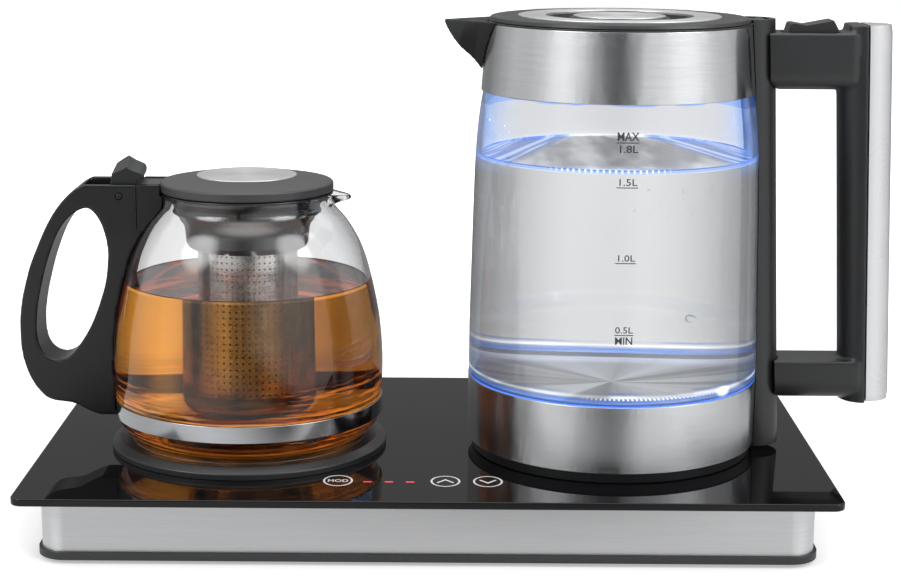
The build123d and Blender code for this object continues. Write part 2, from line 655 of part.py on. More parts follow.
def touch_springs():
    spring = ring(TOUCH_SPRING_RADIUS, TOUCH_SPRING_RADIUS - TOUCH_SPRING_WALL, touch_board_top(), SKIRT_HIGH)
    return group(Pos(x, TOUCH_Y) * spring for x in TOUCH_PADS_X)


def indicator_lights():
    light = disc(TOUCH_LIGHT_RADIUS, touch_board_top(), touch_board_top() + TOUCH_LIGHT_HEIGHT)
    return group(Pos(x, TOUCH_Y) * light for x in TOUCH_LIGHTS_X)


def cord_gland():
    """The bush that leads the supply cord out through the back of the skirt."""
    back = SKIRT_DEPTH / 2
    inner = -(SKIRT_WALL + SEAT + FRAME_WALL + GLAND_INSIDE)
    outline = [(GLAND_BORE, inner), (GLAND_RADIUS, inner), (GLAND_RADIUS, 0), (GLAND_FLANGE_RADIUS, 0),
               (GLAND_FLANGE_RADIUS, GLAND_FLANGE), (GLAND_RADIUS - GLAND_NECK, GLAND_FLANGE),
               (GLAND_BORE + GLAND_TIP_WALL, GLAND_REACH), (GLAND_BORE, GLAND_REACH)]
    return Pos(GLAND_X, back, gland_height()) * Rot(-90, 0, 0) * turned(outline)


def warming_ring():
    """The bevelled surround of the warming plate, with a lip that the plate rests on."""
    z, top = PLATE_TOP, PLATE_TOP + WARMER_HEIGHT
    seat = top - WARMING_PLATE_THICKNESS
    plate_hole = WARMING_PLATE_RADIUS + SEAT
    outline = [(WARMER_OPENING + SEAT, z), (WARMER_RADIUS, z), (WARMER_RADIUS, z + WARMER_EDGE),
               (WARMER_RADIUS - WARMER_BEVEL, top), (plate_hole, top), (plate_hole, seat),
               (plate_hole - WARMER_LIP, seat), (plate_hole - WARMER_LIP, z + WARMER_EDGE / 3),
               (WARMER_OPENING + SEAT, z + WARMER_EDGE / 3)]
    return Pos(TEAPOT_X, TEAPOT_Y) * turned(outline)


def warming_plate():
    top = PLATE_TOP + WARMER_HEIGHT
    return Pos(TEAPOT_X, TEAPOT_Y) * disc(WARMING_PLATE_RADIUS, top - WARMING_PLATE_THICKNESS, top)


def heater_top():
    return PLATE_TOP + WARMER_HEIGHT - WARMING_PLATE_THICKNESS


def warming_heater():
    return Pos(TEAPOT_X, TEAPOT_Y) * disc(HEATER_RADIUS, heater_top() - HEATER_THICKNESS, heater_top())


def heater_tray():
    """The pressed steel pan that hangs in the frame and holds the heater's insulation."""
    top = SKIRT_HIGH + TRAY_WALL
    low = SKIRT_HIGH - TRAY_DEPTH
    outline = [(0, low), (TRAY_RADIUS, low), (TRAY_RADIUS, SKIRT_HIGH), (TRAY_RADIUS + TRAY_FLANGE, SKIRT_HIGH),
               (TRAY_RADIUS + TRAY_FLANGE, top), (TRAY_RADIUS - TRAY_WALL, top),
               (TRAY_RADIUS - TRAY_WALL, low + TRAY_WALL), (0, low + TRAY_WALL)]
    return Pos(TEAPOT_X, TEAPOT_Y) * turned(outline)


def heater_insulation():
    low = SKIRT_HIGH - TRAY_DEPTH + TRAY_WALL
    return Pos(TEAPOT_X, TEAPOT_Y) * disc(TRAY_RADIUS - TRAY_WALL - SEAT, low, heater_top() - HEATER_THICKNESS)


def thermal_cutout():
    top = SKIRT_HIGH - TRAY_DEPTH
    return Pos(TEAPOT_X, TEAPOT_Y) * disc(CUTOUT_RADIUS, top - CUTOUT_HEIGHT, top)


def base_connector():
    """The lower half of the cordless connector: a post on the plate with grooves for its contacts."""
    step = PLATE_TOP + CONNECTOR_STEP_HEIGHT
    post = PLATE_TOP + POST_HEIGHT
    flange = FRAME_LOW - CONNECTOR_FLANGE_THICKNESS
    low = FRAME_LOW - CONNECTOR_DEPTH
    outline = [(0, low), (CONNECTOR_BODY_RADIUS, low), (CONNECTOR_BODY_RADIUS, flange), (CONNECTOR_FLANGE, flange),
               (CONNECTOR_FLANGE, FRAME_LOW), (CONNECTOR_BODY_RADIUS, FRAME_LOW), (CONNECTOR_BODY_RADIUS, step),
               (POST_RADIUS, step), (POST_RADIUS, post - POST_EDGE), (POST_RADIUS - POST_EDGE, post), (0, post)]
    floor = post - CONTACT_DEPTH
    groove = ring(CONTACT_RING_RADIUS + CONTACT_GROOVE, CONTACT_RING_RADIUS - CONTACT_RING_WALL - CONTACT_GROOVE,
                  floor, post)
    hole = disc(CONTACT_PIN_RADIUS + CONTACT_GROOVE, floor, post)
    return Pos(KETTLE_X, KETTLE_Y) * (turned(outline) - groove - hole)


def connector_contacts():
    post = PLATE_TOP + POST_HEIGHT
    floor, top = post - CONTACT_DEPTH, post - POST_EDGE
    outer = ring(CONTACT_RING_RADIUS, CONTACT_RING_RADIUS - CONTACT_RING_WALL, floor, top)
    pin = disc(CONTACT_PIN_RADIUS, floor, top)
    return group([Pos(KETTLE_X, KETTLE_Y) * outer, Pos(KETTLE_X, KETTLE_Y) * pin])


# Kettle, about its own axis with height 0 on the plate

def socket_flange_low():
    return SOCKET_COLLAR_HEIGHT + SLIP


def kettle_socket():
    """The upper half of the cordless connector, in which the kettle turns."""
    low = CONNECTOR_STEP_HEIGHT + SLIP
    roof = POST_HEIGHT + SLIP
    top = max(roof + SOCKET_ROOF, socket_flange_low() + SOCKET_FLANGE_THICKNESS)
    hole = POST_RADIUS + SOCKET_GAP
    flange = socket_flange_low()
    outline = [(hole, low), (SOCKET_RADIUS, low), (SOCKET_RADIUS, flange), (SOCKET_RADIUS + SOCKET_FLANGE, flange),
               (SOCKET_RADIUS + SOCKET_FLANGE, flange + SOCKET_FLANGE_THICKNESS),
               (SOCKET_RADIUS - SOCKET_FLANGE, top), (0, top), (0, roof), (hole, roof)]
    return turned(outline)


def stud_places():
    return [(STUD_CIRCLE * cos(radians(a)), STUD_CIRCLE * sin(radians(a))) for a in (30, 150, 270)]


def base_floor_top():
    return BASE_FLOOR_HEIGHT + BASE_FLOOR


def upstand_radius():
    return BAND_LOW_RADIUS - BAND_FLANGE - SEAT


def diffuser_low():
    return plate_low() - DIFFUSER_THICKNESS


def stud_split():
    """The height at which the cover's posts meet the diffuser's studs."""
    return (base_floor_top() + diffuser_low()) / 2


def kettle_base_cover():
    """The black ring and floor under the kettle, with the collar that turns on the socket."""
    bore = SOCKET_RADIUS + SLIP
    collar = bore + SOCKET_COLLAR_WALL
    floor, top = BASE_FLOOR_HEIGHT, base_floor_top()
    inside = BASE_RING_RADIUS - BASE_RING_WALL
    wall = upstand_radius()
    outline = [(bore, floor), (inside, floor), (inside, SLIP), (BASE_RING_RADIUS, SLIP),
               (BASE_RING_TOP_RADIUS, BAND_LOW), (wall, BAND_LOW), (wall, UPSTAND_HIGH),
               (wall - UPSTAND_WALL, UPSTAND_HIGH), (wall - UPSTAND_WALL, top), (collar, top),
               (collar, SOCKET_COLLAR_HEIGHT), (bore, SOCKET_COLLAR_HEIGHT)]
    cover = turned(outline)
    for x, y in stud_places():
        cover += Pos(x, y) * disc(STUD_RADIUS, floor, stud_split())
        cover -= Pos(x, y) * disc(KETTLE_SCREW_RADIUS + SEAT, floor, stud_split())
        cover -= Pos(x, y) * disc(KETTLE_SCREW_HEAD + SEAT, floor, floor + KETTLE_SCREW_HEAD_HEIGHT)
    return cover


def kettle_base_screws():
    low = BASE_FLOOR_HEIGHT
    screw = disc(KETTLE_SCREW_HEAD, low, low + KETTLE_SCREW_HEAD_HEIGHT)
    screw += disc(KETTLE_SCREW_RADIUS, low, low + KETTLE_SCREW_LENGTH)
    return group(Pos(x, y) * screw for x, y in stud_places())


def base_band():
    inner_low, inner_high = BAND_LOW_RADIUS - BAND_WALL, BAND_HIGH_RADIUS - BAND_WALL
    flange = BAND_LOW_RADIUS - BAND_FLANGE
    return turned([(flange, BAND_LOW), (BAND_LOW_RADIUS, BAND_LOW), (BAND_HIGH_RADIUS, BAND_HIGH),
                   (inner_high, BAND_HIGH), (inner_low, BAND_LOW + BAND_WALL), (flange, BAND_LOW + BAND_WALL)])


def light_ring_low():
    return GLASS_LOW - LIGHT_RING_HEIGHT


def plate_low():
    return light_ring_low() - HEATING_PLATE_THICKNESS


def kettle_glass():
    outer = GLASS_PROFILE
    inner = inset(outer, GLASS_WALL)
    inner[0] = (outer[0][0] - GLASS_WALL, outer[0][1])
    inner[-1] = (outer[-1][0] - GLASS_WALL, outer[-1][1])
    sides = [curve(outer), Line((outer[-1][0], 0, outer[-1][1]), (inner[-1][0], 0, inner[-1][1])),
             curve(inner[::-1]), Line((inner[0][0], 0, inner[0][1]), (outer[0][0], 0, outer[0][1]))]
    return revolve(make_face(sides), Axis.Z)


def heating_plate():
    return disc(HEATING_PLATE_RADIUS, plate_low(), light_ring_low())


def light_ring():
    outer = BAND_HIGH_RADIUS - BAND_WALL - SEAT
    return ring(outer, outer - LIGHT_RING_WALL, light_ring_low(), GLASS_LOW)


def lower_seal():
    outer = GLASS_PROFILE[0][0] - GLASS_WALL - SEAT
    return ring(outer, outer - SEAL_WALL, light_ring_low(), light_ring_low() + SEAL_HEIGHT)


def heat_diffuser():
    """The aluminium plate under the heating plate, with three studs for the base cover's screws."""
    plate = disc(DIFFUSER_RADIUS, diffuser_low(), plate_low())
    for x, y in stud_places():
        plate += Pos(x, y) * disc(STUD_RADIUS, stud_split(), diffuser_low())
        tip = BASE_FLOOR_HEIGHT + KETTLE_SCREW_LENGTH
        plate -= Pos(x, y) * disc(KETTLE_SCREW_RADIUS + SCREW_GRIP, stud_split(), tip)
    return plate - disc(PROBE_RADIUS + SEAT, diffuser_low(), plate_low())


def heating_element():
    """The tubular element under the diffuser, open where its two ends come out."""
    section = Pos(ELEMENT_RING_RADIUS, 0, diffuser_low() - ELEMENT_RADIUS) * Rot(90, 0, 0) * Circle(ELEMENT_RADIUS)
    return Rot(0, 0, ELEMENT_GAP_ANGLE / 2) * revolve(section, Axis.Z, 360 - ELEMENT_GAP_ANGLE)


def temperature_probe():
    return disc(PROBE_RADIUS, plate_low() - PROBE_LENGTH, plate_low())


def collar_radius(height):
    return between((COLLAR_LOW_RADIUS, COLLAR_LOW), (COLLAR_HIGH_RADIUS, COLLAR_HIGH), height)


def steel_collar():
    low, high = collar_radius(COLLAR_LOW), collar_radius(COLLAR_HIGH)
    collar = turned([(low - COLLAR_WALL, COLLAR_LOW), (low, COLLAR_LOW), (high, COLLAR_HIGH),
                     (high - COLLAR_WALL, COLLAR_HIGH)])
    return collar - spout_passage()


def kettle_rim():
    """The moulded ring inside the collar that forms the kettle's mouth."""
    low = GLASS_HIGH
    inner, wall = RIM_RADIUS, RIM_RADIUS + RIM_WALL
    foot, under, top = low + RIM_WALL, COLLAR_HIGH - RIM_WALL / 2, COLLAR_HIGH + RIM_TOP
    gap = COLLAR_WALL + SEAT
    outline = [(inner, low), (collar_radius(low) - gap, low), (collar_radius(foot) - gap, foot), (wall, foot),
               (wall, under), (collar_radius(under) - gap, under), (collar_radius(COLLAR_HIGH) - gap, COLLAR_HIGH),
               (COLLAR_HIGH_RADIUS, COLLAR_HIGH), (COLLAR_HIGH_RADIUS, top), (inner, top)]
    return turned(outline) - spout_passage()


def spout_station(x, half, ridge, top):
    """A V-shaped cross-section of the spout across X."""
    return make_face(Polyline((x, -half, top), (x, half, top), (x, 0, ridge), close=True))


def spout_plan(x):
    """Half the spout's width at a distance in front of the axis, with slightly bulging sides."""
    share = (SPOUT_REACH - x) / (SPOUT_REACH - SPOUT_ROOT)
    return SPOUT_HALF_WIDTH * share + SPOUT_BULGE * share * (1 - share)


def spout_ridge(x):
    """The height of the spout's keel at a distance in front of the axis."""
    share = (SPOUT_REACH - x) / (SPOUT_REACH - collar_radius(SPOUT_TOP - SPOUT_DROP))
    return SPOUT_TOP - SPOUT_DROP * share - SPOUT_BULGE * share * (1 - share)


def spout_depths(shares):
    return [SPOUT_REACH - share * (SPOUT_REACH - SPOUT_ROOT) for share in shares]


def spout_outside():
    return loft([spout_station(-x, spout_plan(x) + SPOUT_EDGE, spout_ridge(x) - SPOUT_EDGE, SPOUT_TOP)
                 for x in spout_depths(SPOUT_STATIONS)])


def spout_passage():
    """The channel inside the spout, which runs on through the collar and the rim."""
    top = SPOUT_TOP + LID_WALL
    stations = []
    for x in spout_depths(PASSAGE_STATIONS):
        half = (spout_plan(x) - SPOUT_WALL) * (top - spout_ridge(x)) / (SPOUT_TOP - spout_ridge(x))
        stations.append(spout_station(-x, half, max(spout_ridge(x) + 2 * SPOUT_WALL, SPOUT_FLOOR), top))
    return loft(stations)


def kettle_spout():
    low, high = COLLAR_LOW - SPOUT_DROP, SPOUT_TOP + 1
    inside = turned([(0, low), (collar_radius(low) + RUNNING, low), (collar_radius(high) + RUNNING, high), (0, high)])
    return spout_outside() - spout_passage() - inside


def spout_filter():
    outer = RIM_RADIUS - SEAT
    whole = ring(outer, outer - FILTER_WALL, FILTER_LOW, FILTER_LOW + FILTER_HEIGHT)
    half = outer * sin(radians(FILTER_ANGLE / 2))
    return whole & block((-outer, -outer / 2), (-half, half), (FILTER_LOW, FILTER_LOW + FILTER_HEIGHT))


def lid_shell():
    """The black lid, with a seat for its steel ring and a finger recess around its centre."""
    seat = LID_TOP - LID_TRIM_SEAT
    low, floor = LID_TOP - LID_EDGE, LID_TOP - LID_RECESS_DEPTH
    under = COLLAR_HIGH + RIM_TOP + SLIP
    knob = LID_TOP - LID_KNOB_DROP
    slope = LID_RECESS_SLOPE
    recess = LID_TRIM_INNER - SEAT
    outline = [(LID_RADIUS, under), (LID_RADIUS, low), (LID_RADIUS - LID_EDGE / 2, LID_TOP - LID_EDGE_ROUND),
               (LID_RADIUS - 1.1 * LID_EDGE, LID_TOP), (LID_TRIM_OUTER + SEAT, LID_TOP), (LID_TRIM_OUTER + SEAT, seat),
               (recess, seat), (recess - slope, floor), (LID_KNOB_RADIUS + slope, floor), (LID_KNOB_RADIUS, knob),
               (0, knob), (0, knob - LID_WALL), (LID_KNOB_RADIUS - LID_WALL, knob - LID_WALL),
               (LID_KNOB_RADIUS - LID_WALL + slope, floor - LID_WALL),
               (recess - slope + LID_WALL, floor - LID_WALL), (recess + LID_WALL, COLLAR_HIGH),
               (RIM_RADIUS - 2 * SLIP, COLLAR_HIGH), (RIM_RADIUS - 2 * SLIP, under)]
    lid = turned(outline)
    knuckle = rod_y(KNUCKLE_RADIUS, KNUCKLE_HALF, LID_HINGE_X, LID_HINGE_Z)
    arm = block((LID_RADIUS - 2 * LID_WALL, LID_HINGE_X), (-KNUCKLE_HALF, KNUCKLE_HALF), (under, LID_TOP - LID_EDGE / 2))
    lid += arm + knuckle
    return lid - rod_y(HINGE_PIN_RADIUS + RUNNING, KNUCKLE_HALF, LID_HINGE_X, LID_HINGE_Z)


def lid_trim():
    seat = LID_TOP - LID_TRIM_SEAT
    return ring(LID_TRIM_OUTER, LID_TRIM_INNER, seat, seat + LID_TRIM_THICKNESS)


def lid_disc():
    low = LID_TOP - LID_KNOB_DROP
    return disc(LID_DISC_RADIUS, low, low + LID_DISC_THICKNESS)


def lid_liner():
    top = COLLAR_HIGH
    low = top - LINER_DEPTH
    return turned([(0, low), (LINER_RADIUS, low), (LINER_RADIUS, top), (LINER_RADIUS - LID_WALL, top),
                   (LINER_RADIUS - LID_WALL, low + LID_WALL), (0, low + LID_WALL)])


def lid_seal():
    return ring(LINER_RADIUS + LID_SEAL_WIDTH, LINER_RADIUS, LID_SEAL_LOW, LID_SEAL_LOW + LID_SEAL_HEIGHT)


def lid_pin():
    return rod_y(HINGE_PIN_RADIUS, HINGE_PIN_HALF, LID_HINGE_X, LID_HINGE_Z)


def kettle_envelope():
    """Everything inside the kettle's outer skin, with a little room, for the handle to fit around."""
    outline = [(0, SPINE_LOW - 1), (BAND_LOW_RADIUS + SEAT, SPINE_LOW - 1), (BAND_HIGH_RADIUS + SEAT, BAND_HIGH)]
    outline += [(r + SEAT, z) for r, z in GLASS_PROFILE if BAND_HIGH < z < COLLAR_LOW]
    outline += [(COLLAR_LOW_RADIUS + SEAT, COLLAR_LOW), (COLLAR_HIGH_RADIUS + SEAT, COLLAR_HIGH + RIM_TOP)]
    outline += [(LID_RADIUS + 3 * SLIP, COLLAR_HIGH + RIM_TOP), (LID_RADIUS + 3 * SLIP, SPINE_HIGH + 1), (0, SPINE_HIGH + 1)]
    return turned(outline)


def spine_bar():
    """The handle's upright before it is fitted around the kettle."""
    low = Pos(SPINE_LOW_REACH - SPINE_ROUND, 0, SPINE_LOW) * Ellipse(SPINE_ROUND, SPINE_HALF_WIDTH)
    high = Pos(SPINE_HIGH_REACH - SPINE_ROUND, 0, SPINE_HIGH) * Ellipse(SPINE_ROUND, SPINE_HALF_WIDTH)
    return loft([low, high])


def handle_spine():
    spine = spine_bar() - kettle_envelope()
    slot_low = LID_HINGE_Z - KNUCKLE_RADIUS - SLIP
    slot = block((RIM_RADIUS, LID_HINGE_X + KNUCKLE_RADIUS + SLIP), (-KNUCKLE_HALF - SLIP, KNUCKLE_HALF + SLIP),
                 (slot_low, SPINE_HIGH + 1))
    spine -= slot
    spine -= rod_y(HINGE_PIN_RADIUS + SCREW_GRIP, HINGE_PIN_HALF, LID_HINGE_X, LID_HINGE_Z)
    for start, height in handle_screw_places():
        spine -= rod_x(HANDLE_SCREW_RADIUS + SEAT, start, start + HANDLE_SCREW_LENGTH, height)
        spine -= rod_x(HANDLE_SCREW_HEAD + SEAT, start - SPINE_ROUND, start + HANDLE_SCREW_HEAD_HEIGHT, height)
    return spine


def handle_screw_places():
    """Where each screw's head starts along X, and its height."""
    high, low = UPPER_ARM_LOW + ARM_CORNER, (LOWER_ARM_LOW + LOWER_ARM_HIGH) / 2
    return [(collar_radius(high) + 2 * SEAT, high), (BAND_HIGH_RADIUS + 2 * SEAT, low)]


def handle_screws():
    screws = []
    for start, height in handle_screw_places():
        head = rod_x(HANDLE_SCREW_HEAD, start, start + HANDLE_SCREW_HEAD_HEIGHT, height)
        screws.append(head + rod_x(HANDLE_SCREW_RADIUS, start, start + HANDLE_SCREW_LENGTH, height))
    return group(screws)


def arm(low, high, end):
    """An arm of the handle, flat on top and rounded below."""
    start = SPINE_HIGH_REACH - SPINE_ROUND
    section = Pos(0, (low + high) / 2) * Rectangle(2 * ARM_HALF_WIDTH, high - low)
    lower = section.vertices().group_by(Axis.Y)[0]
    section = fillet(lower, ARM_CORNER)
    upper = section.vertices().group_by(Axis.Y)[-1]
    section = chamfer(upper, ARM_TOP_CHAMFER)
    return extrude(Plane.YZ.offset(start) * section, end - start)


def grip_section(inner, seam, height):
    """The rounded inner half of the grip at a height."""
    face = Pos(seam, 0, height) * Ellipse(seam - inner, GRIP_HALF_WIDTH)
    return face & (Pos(inner, 0, height) * Rectangle(2 * (seam - inner), 3 * GRIP_HALF_WIDTH))


def kettle_handle():
    """The two arms and the inner half of the grip, moulded in one piece."""
    grip = loft([grip_section(GRIP_LOW_X[0], GRIP_LOW_X[1], GRIP_LOW), grip_section(GRIP_TOP_X[0], GRIP_TOP_X[1], GRIP_HIGH)])
    grip -= block((GRIP_TOP_X[0] - 1, GRIP_TAIL_X), (-2 * GRIP_HALF_WIDTH, 2 * GRIP_HALF_WIDTH), (UPPER_ARM_HIGH, GRIP_HIGH + 1))
    arms = arm(UPPER_ARM_LOW, UPPER_ARM_HIGH, UPPER_ARM_END) + arm(LOWER_ARM_LOW, LOWER_ARM_HIGH, LOWER_ARM_END)
    handle = grip + arms - spine_bar() - kettle_envelope()
    handle -= button_pocket()
    handle -= rod_y(BUTTON_PIN_RADIUS + SCREW_GRIP, ARM_HALF_WIDTH - BUTTON_PIN_INSET, BUTTON_PIN_X, BUTTON_PIN_Z)
    for start, height in handle_screw_places():
        handle -= rod_x(HANDLE_SCREW_RADIUS + SCREW_GRIP, start, start + HANDLE_SCREW_LENGTH, height)
    return handle


def cover_section(seam, outer, height, wall=0.0):
    """The outer half of the grip at a height, with rounded corners, smaller by a wall."""
    reach = outer - seam
    half = GRIP_HALF_WIDTH - wall
    face = Rectangle(2 * (reach - wall), 2 * half)
    face = fillet(face.vertices(), GRIP_CORNER - wall)
    face &= Pos(reach, 0) * Rectangle(2 * reach, 4 * half)
    return Pos(seam, 0, height) * face


def grip_cover():
    low, high = GRIP_LOW_X[1:], GRIP_TOP_X[1:]
    outside = loft([cover_section(low[0], low[1], GRIP_LOW), cover_section(high[0], high[1], GRIP_HIGH)])
    inside = loft([cover_section(low[0], low[1], GRIP_LOW + COVER_WALL, COVER_WALL),
                   cover_section(high[0], high[1], GRIP_HIGH - COVER_WALL, COVER_WALL)])
    return outside - inside


def button_pocket():
    return block((BUTTON_LEFT - 4 * SLIP, BUTTON_RIGHT + SLIP), (-BUTTON_HALF_WIDTH - SLIP, BUTTON_HALF_WIDTH + SLIP),
                 (BUTTON_POCKET_LOW, UPPER_ARM_HIGH + 1))


def lid_button():
    """The rocker on the upper arm: a bump over its pin, a dip and a peak for the thumb."""
    arm, low = UPPER_ARM_HIGH, UPPER_ARM_HIGH - BUTTON_SKIRT
    bump, dip, peak = BUTTON_LEFT + BUTTON_BUMP_IN, BUTTON_LEFT + BUTTON_DIP_IN, BUTTON_RIGHT - BUTTON_PEAK_IN
    outline = [(BUTTON_LEFT, low), ((BUTTON_LEFT + bump) / 2, arm + 0.9 * BUTTON_BUMP_RISE),
               (bump, arm + BUTTON_BUMP_RISE), (dip, arm + BUTTON_DIP_RISE), (peak, arm + BUTTON_PEAK_RISE),
               (BUTTON_RIGHT, low), (BUTTON_RIGHT - BUTTON_TAPER, BUTTON_LOW), (BUTTON_LEFT + BUTTON_TAPER, BUTTON_LOW)]
    button = side_plate(outline, BUTTON_HALF_WIDTH)
    return button - rod_y(BUTTON_PIN_RADIUS + RUNNING, BUTTON_HALF_WIDTH, BUTTON_PIN_X, BUTTON_PIN_Z)


def button_pin():
    return rod_y(BUTTON_PIN_RADIUS, ARM_HALF_WIDTH - BUTTON_PIN_INSET, BUTTON_PIN_X, BUTTON_PIN_Z)


def button_spring():
    return Pos(SPRING_X, 0) * ring(SPRING_RADIUS, SPRING_RADIUS - SPRING_WALL, BUTTON_POCKET_LOW, BUTTON_LOW)


# Teapot, about its own axis with height 0 on the plate

def pot_envelope(room):
    outline = [(0, POT_LOW - room)] + [(r + room, z) for r, z in POT_PROFILE] + [(0, POT_RIM)]
    return turned(outline)


def lip_station(x, half, ridge, top):
    return make_face(Polyline((x, -half, top), (x, half, top), (x, 0, ridge), close=True))


def lip(room):
    """The pouring lip of the teapot, smaller all round by room."""
    top = POT_RIM + (0.5 if room else 0)
    root = POT_NECK_RADIUS - LIP_ROOT
    tip = LIP_REACH - 1.5 * room
    half = LIP_HALF_WIDTH - room
    stations = []
    for share in (0.03, 0.35, 0.7, 1.0):
        x = tip + (root - tip) * share
        ridge = POT_RIM - LIP_TIP_DROP - (LIP_DROP - LIP_TIP_DROP) * sqrt(share) + 0.8 * room
        stations.append(lip_station(x, half * share ** 0.8, ridge, top))
    return loft(stations)


def teapot_glass():
    outer = list(POT_PROFILE)
    inner = inset(outer, POT_WALL)
    inner[0] = (outer[0][0], POT_LOW + POT_WALL)
    inner[-1] = (outer[-1][0] - POT_WALL, POT_RIM)
    sides = [Line((0, 0, POT_LOW), (outer[0][0], 0, POT_LOW)), curve(outer),
             Line((outer[-1][0], 0, POT_RIM), (inner[-1][0], 0, POT_RIM)), curve(inner[::-1]),
             Line((inner[0][0], 0, inner[0][1]), (0, 0, inner[0][1])),
             Line((0, 0, inner[0][1]), (0, 0, POT_LOW))]
    pot = revolve(make_face(sides), Axis.Z)
    spout = lip(0) - disc(POT_NECK_RADIUS - POT_WALL, POT_RIM - 2 * LIP_DROP, POT_RIM + 1)
    return pot + spout - lip(POT_WALL / 1.4)


def pot_band_radius():
    widest = max(r for r, z in POT_PROFILE if z < POT_BAND_HIGH)
    return widest + RUNNING + POT_BAND_WALL


def pot_band():
    return ring(pot_band_radius(), pot_band_radius() - POT_BAND_WALL, POT_BAND_LOW, POT_BAND_HIGH)


def beyond_neck(outline):
    """The points of a handle outline, from distances beyond the neck and shares of the pot's height."""
    return [(-POT_NECK_RADIUS - out, pot_height(share)) for out, share in outline]


def loop_solid():
    loop = Spline(*[(x, 0, z) for x, z in beyond_neck(POT_HANDLE_LOOP)], periodic=True)
    return extrude(make_face(loop), 2 * POT_HANDLE_HALF_TOP, dir=(0, 1, 0), both=True)


def pot_handle_outline():
    """The handle's side view: along the top, down the back, along the foot and up inside the pot."""
    back = beyond_neck(POT_HANDLE_BACK)
    foot = back[-1:] + beyond_neck(POT_HANDLE_FOOT)
    first = back[0]
    inner_x = -POT_NECK_RADIUS + 2 * POT_WALL
    top_bend = (first[0] + POT_HANDLE_BEND, POT_HANDLE_TOP)
    return [Line((inner_x, 0, POT_HANDLE_TOP), (top_bend[0], 0, POT_HANDLE_TOP)),
            Line((top_bend[0], 0, POT_HANDLE_TOP), (first[0], 0, first[1])),
            curve(back), curve(foot),
            Line((foot[-1][0], 0, foot[-1][1]), (inner_x, 0, foot[-1][1])),
            Line((inner_x, 0, foot[-1][1]), (inner_x, 0, POT_HANDLE_TOP))]


def handle_taper():
    """The handle's front view: wide at the pot's neck and narrow at its foot."""
    top, low = POT_HANDLE_HALF_TOP, POT_HANDLE_HALF_LOW
    start, end = POT_HANDLE_TOP + 1, POT_HANDLE_TOP - POT_HANDLE_TAPER
    foot = beyond_neck(POT_HANDLE_FOOT)[-1][1] - 1
    x = -POT_NECK_RADIUS + 3 * POT_WALL
    outline = Polyline((x, -low, foot), (x, low, foot), (x, top, end), (x, top, start), (x, -top, start),
                       (x, -top, end), close=True)
    return extrude(make_face(outline), 2 * POT_NECK_RADIUS, dir=(-1, 0, 0))


def whole_handle():
    """The handle and its neck bracket in one piece."""
    handle = extrude(make_face(pot_handle_outline()), POT_HANDLE_HALF_TOP + 1, dir=(0, 1, 0), both=True)
    handle &= handle_taper()
    handle -= loop_solid()
    handle -= pot_envelope(SEAT)
    handle -= disc(POT_LID_RADIUS + LID_ROOM, POT_RIM, POT_HANDLE_TOP + 1)
    band = pot_band_radius() + SEAT
    handle -= disc(band, POT_BAND_LOW - SLIP, POT_BAND_HIGH + SLIP)
    room = LEVER_HALF_WIDTH + SLIP
    handle -= block((POCKET_LEFT, -POT_NECK_RADIUS + 3 * POT_WALL), (-room, room), (POCKET_FLOOR, POT_HANDLE_TOP + 1))
    handle -= rod_y(LEVER_HUB_RADIUS + SLIP, room, LEVER_PIN_X, LEVER_PIN_Z)
    handle -= rod_y(LEVER_PIN_RADIUS + SCREW_GRIP, POT_HANDLE_HALF_TOP - 0.5, LEVER_PIN_X, LEVER_PIN_Z)
    return handle


def bracket_zone():
    return block((BRACKET_SEAM, 0), (-2 * POT_HANDLE_HALF_TOP, 2 * POT_HANDLE_HALF_TOP), (BRACKET_LOW, POT_HANDLE_TOP + 1))


def pot_handle():
    return whole_handle() - bracket_zone()


def handle_bracket():
    """The piece between the handle and the pot's neck."""
    return whole_handle() & bracket_zone()


def lever_pin():
    return rod_y(LEVER_PIN_RADIUS, POT_HANDLE_HALF_TOP - 0.5, LEVER_PIN_X, LEVER_PIN_Z)


def infuser_funnel():
    """The black collar that hangs in the pot's neck and carries the strainer."""
    outer = list(FUNNEL_PROFILE)
    inner = inset(outer, -FUNNEL_WALL)
    inner = [(2 * r - i, 2 * z - k) for (r, z), (i, k) in zip(outer, inner)]
    hole = STRAINER_RADIUS + SLIP
    low = outer[-1][1]
    neck = POT_NECK_RADIUS - POT_WALL - SEAT
    flange = POT_RIM + FUNNEL_FLANGE
    outline = [(POT_NECK_RADIUS, POT_RIM), (POT_NECK_RADIUS, flange), (neck - FUNNEL_WALL, flange)]
    outline += [(r - FUNNEL_WALL, z + 0.4) for r, z in outer[:-1]]
    outline += [(outer[-1][0] - FUNNEL_WALL, low + STRAINER_LEDGE), (hole, low + STRAINER_LEDGE), (hole, low)]
    outline += [(outer[-1][0] - 1, low)] + outer[::-1][:-1] + [(neck, outer[0][1]), (neck, POT_RIM)]
    return turned(outline)


def strainer_top():
    return FUNNEL_PROFILE[-1][1] + STRAINER_LEDGE + SLIP


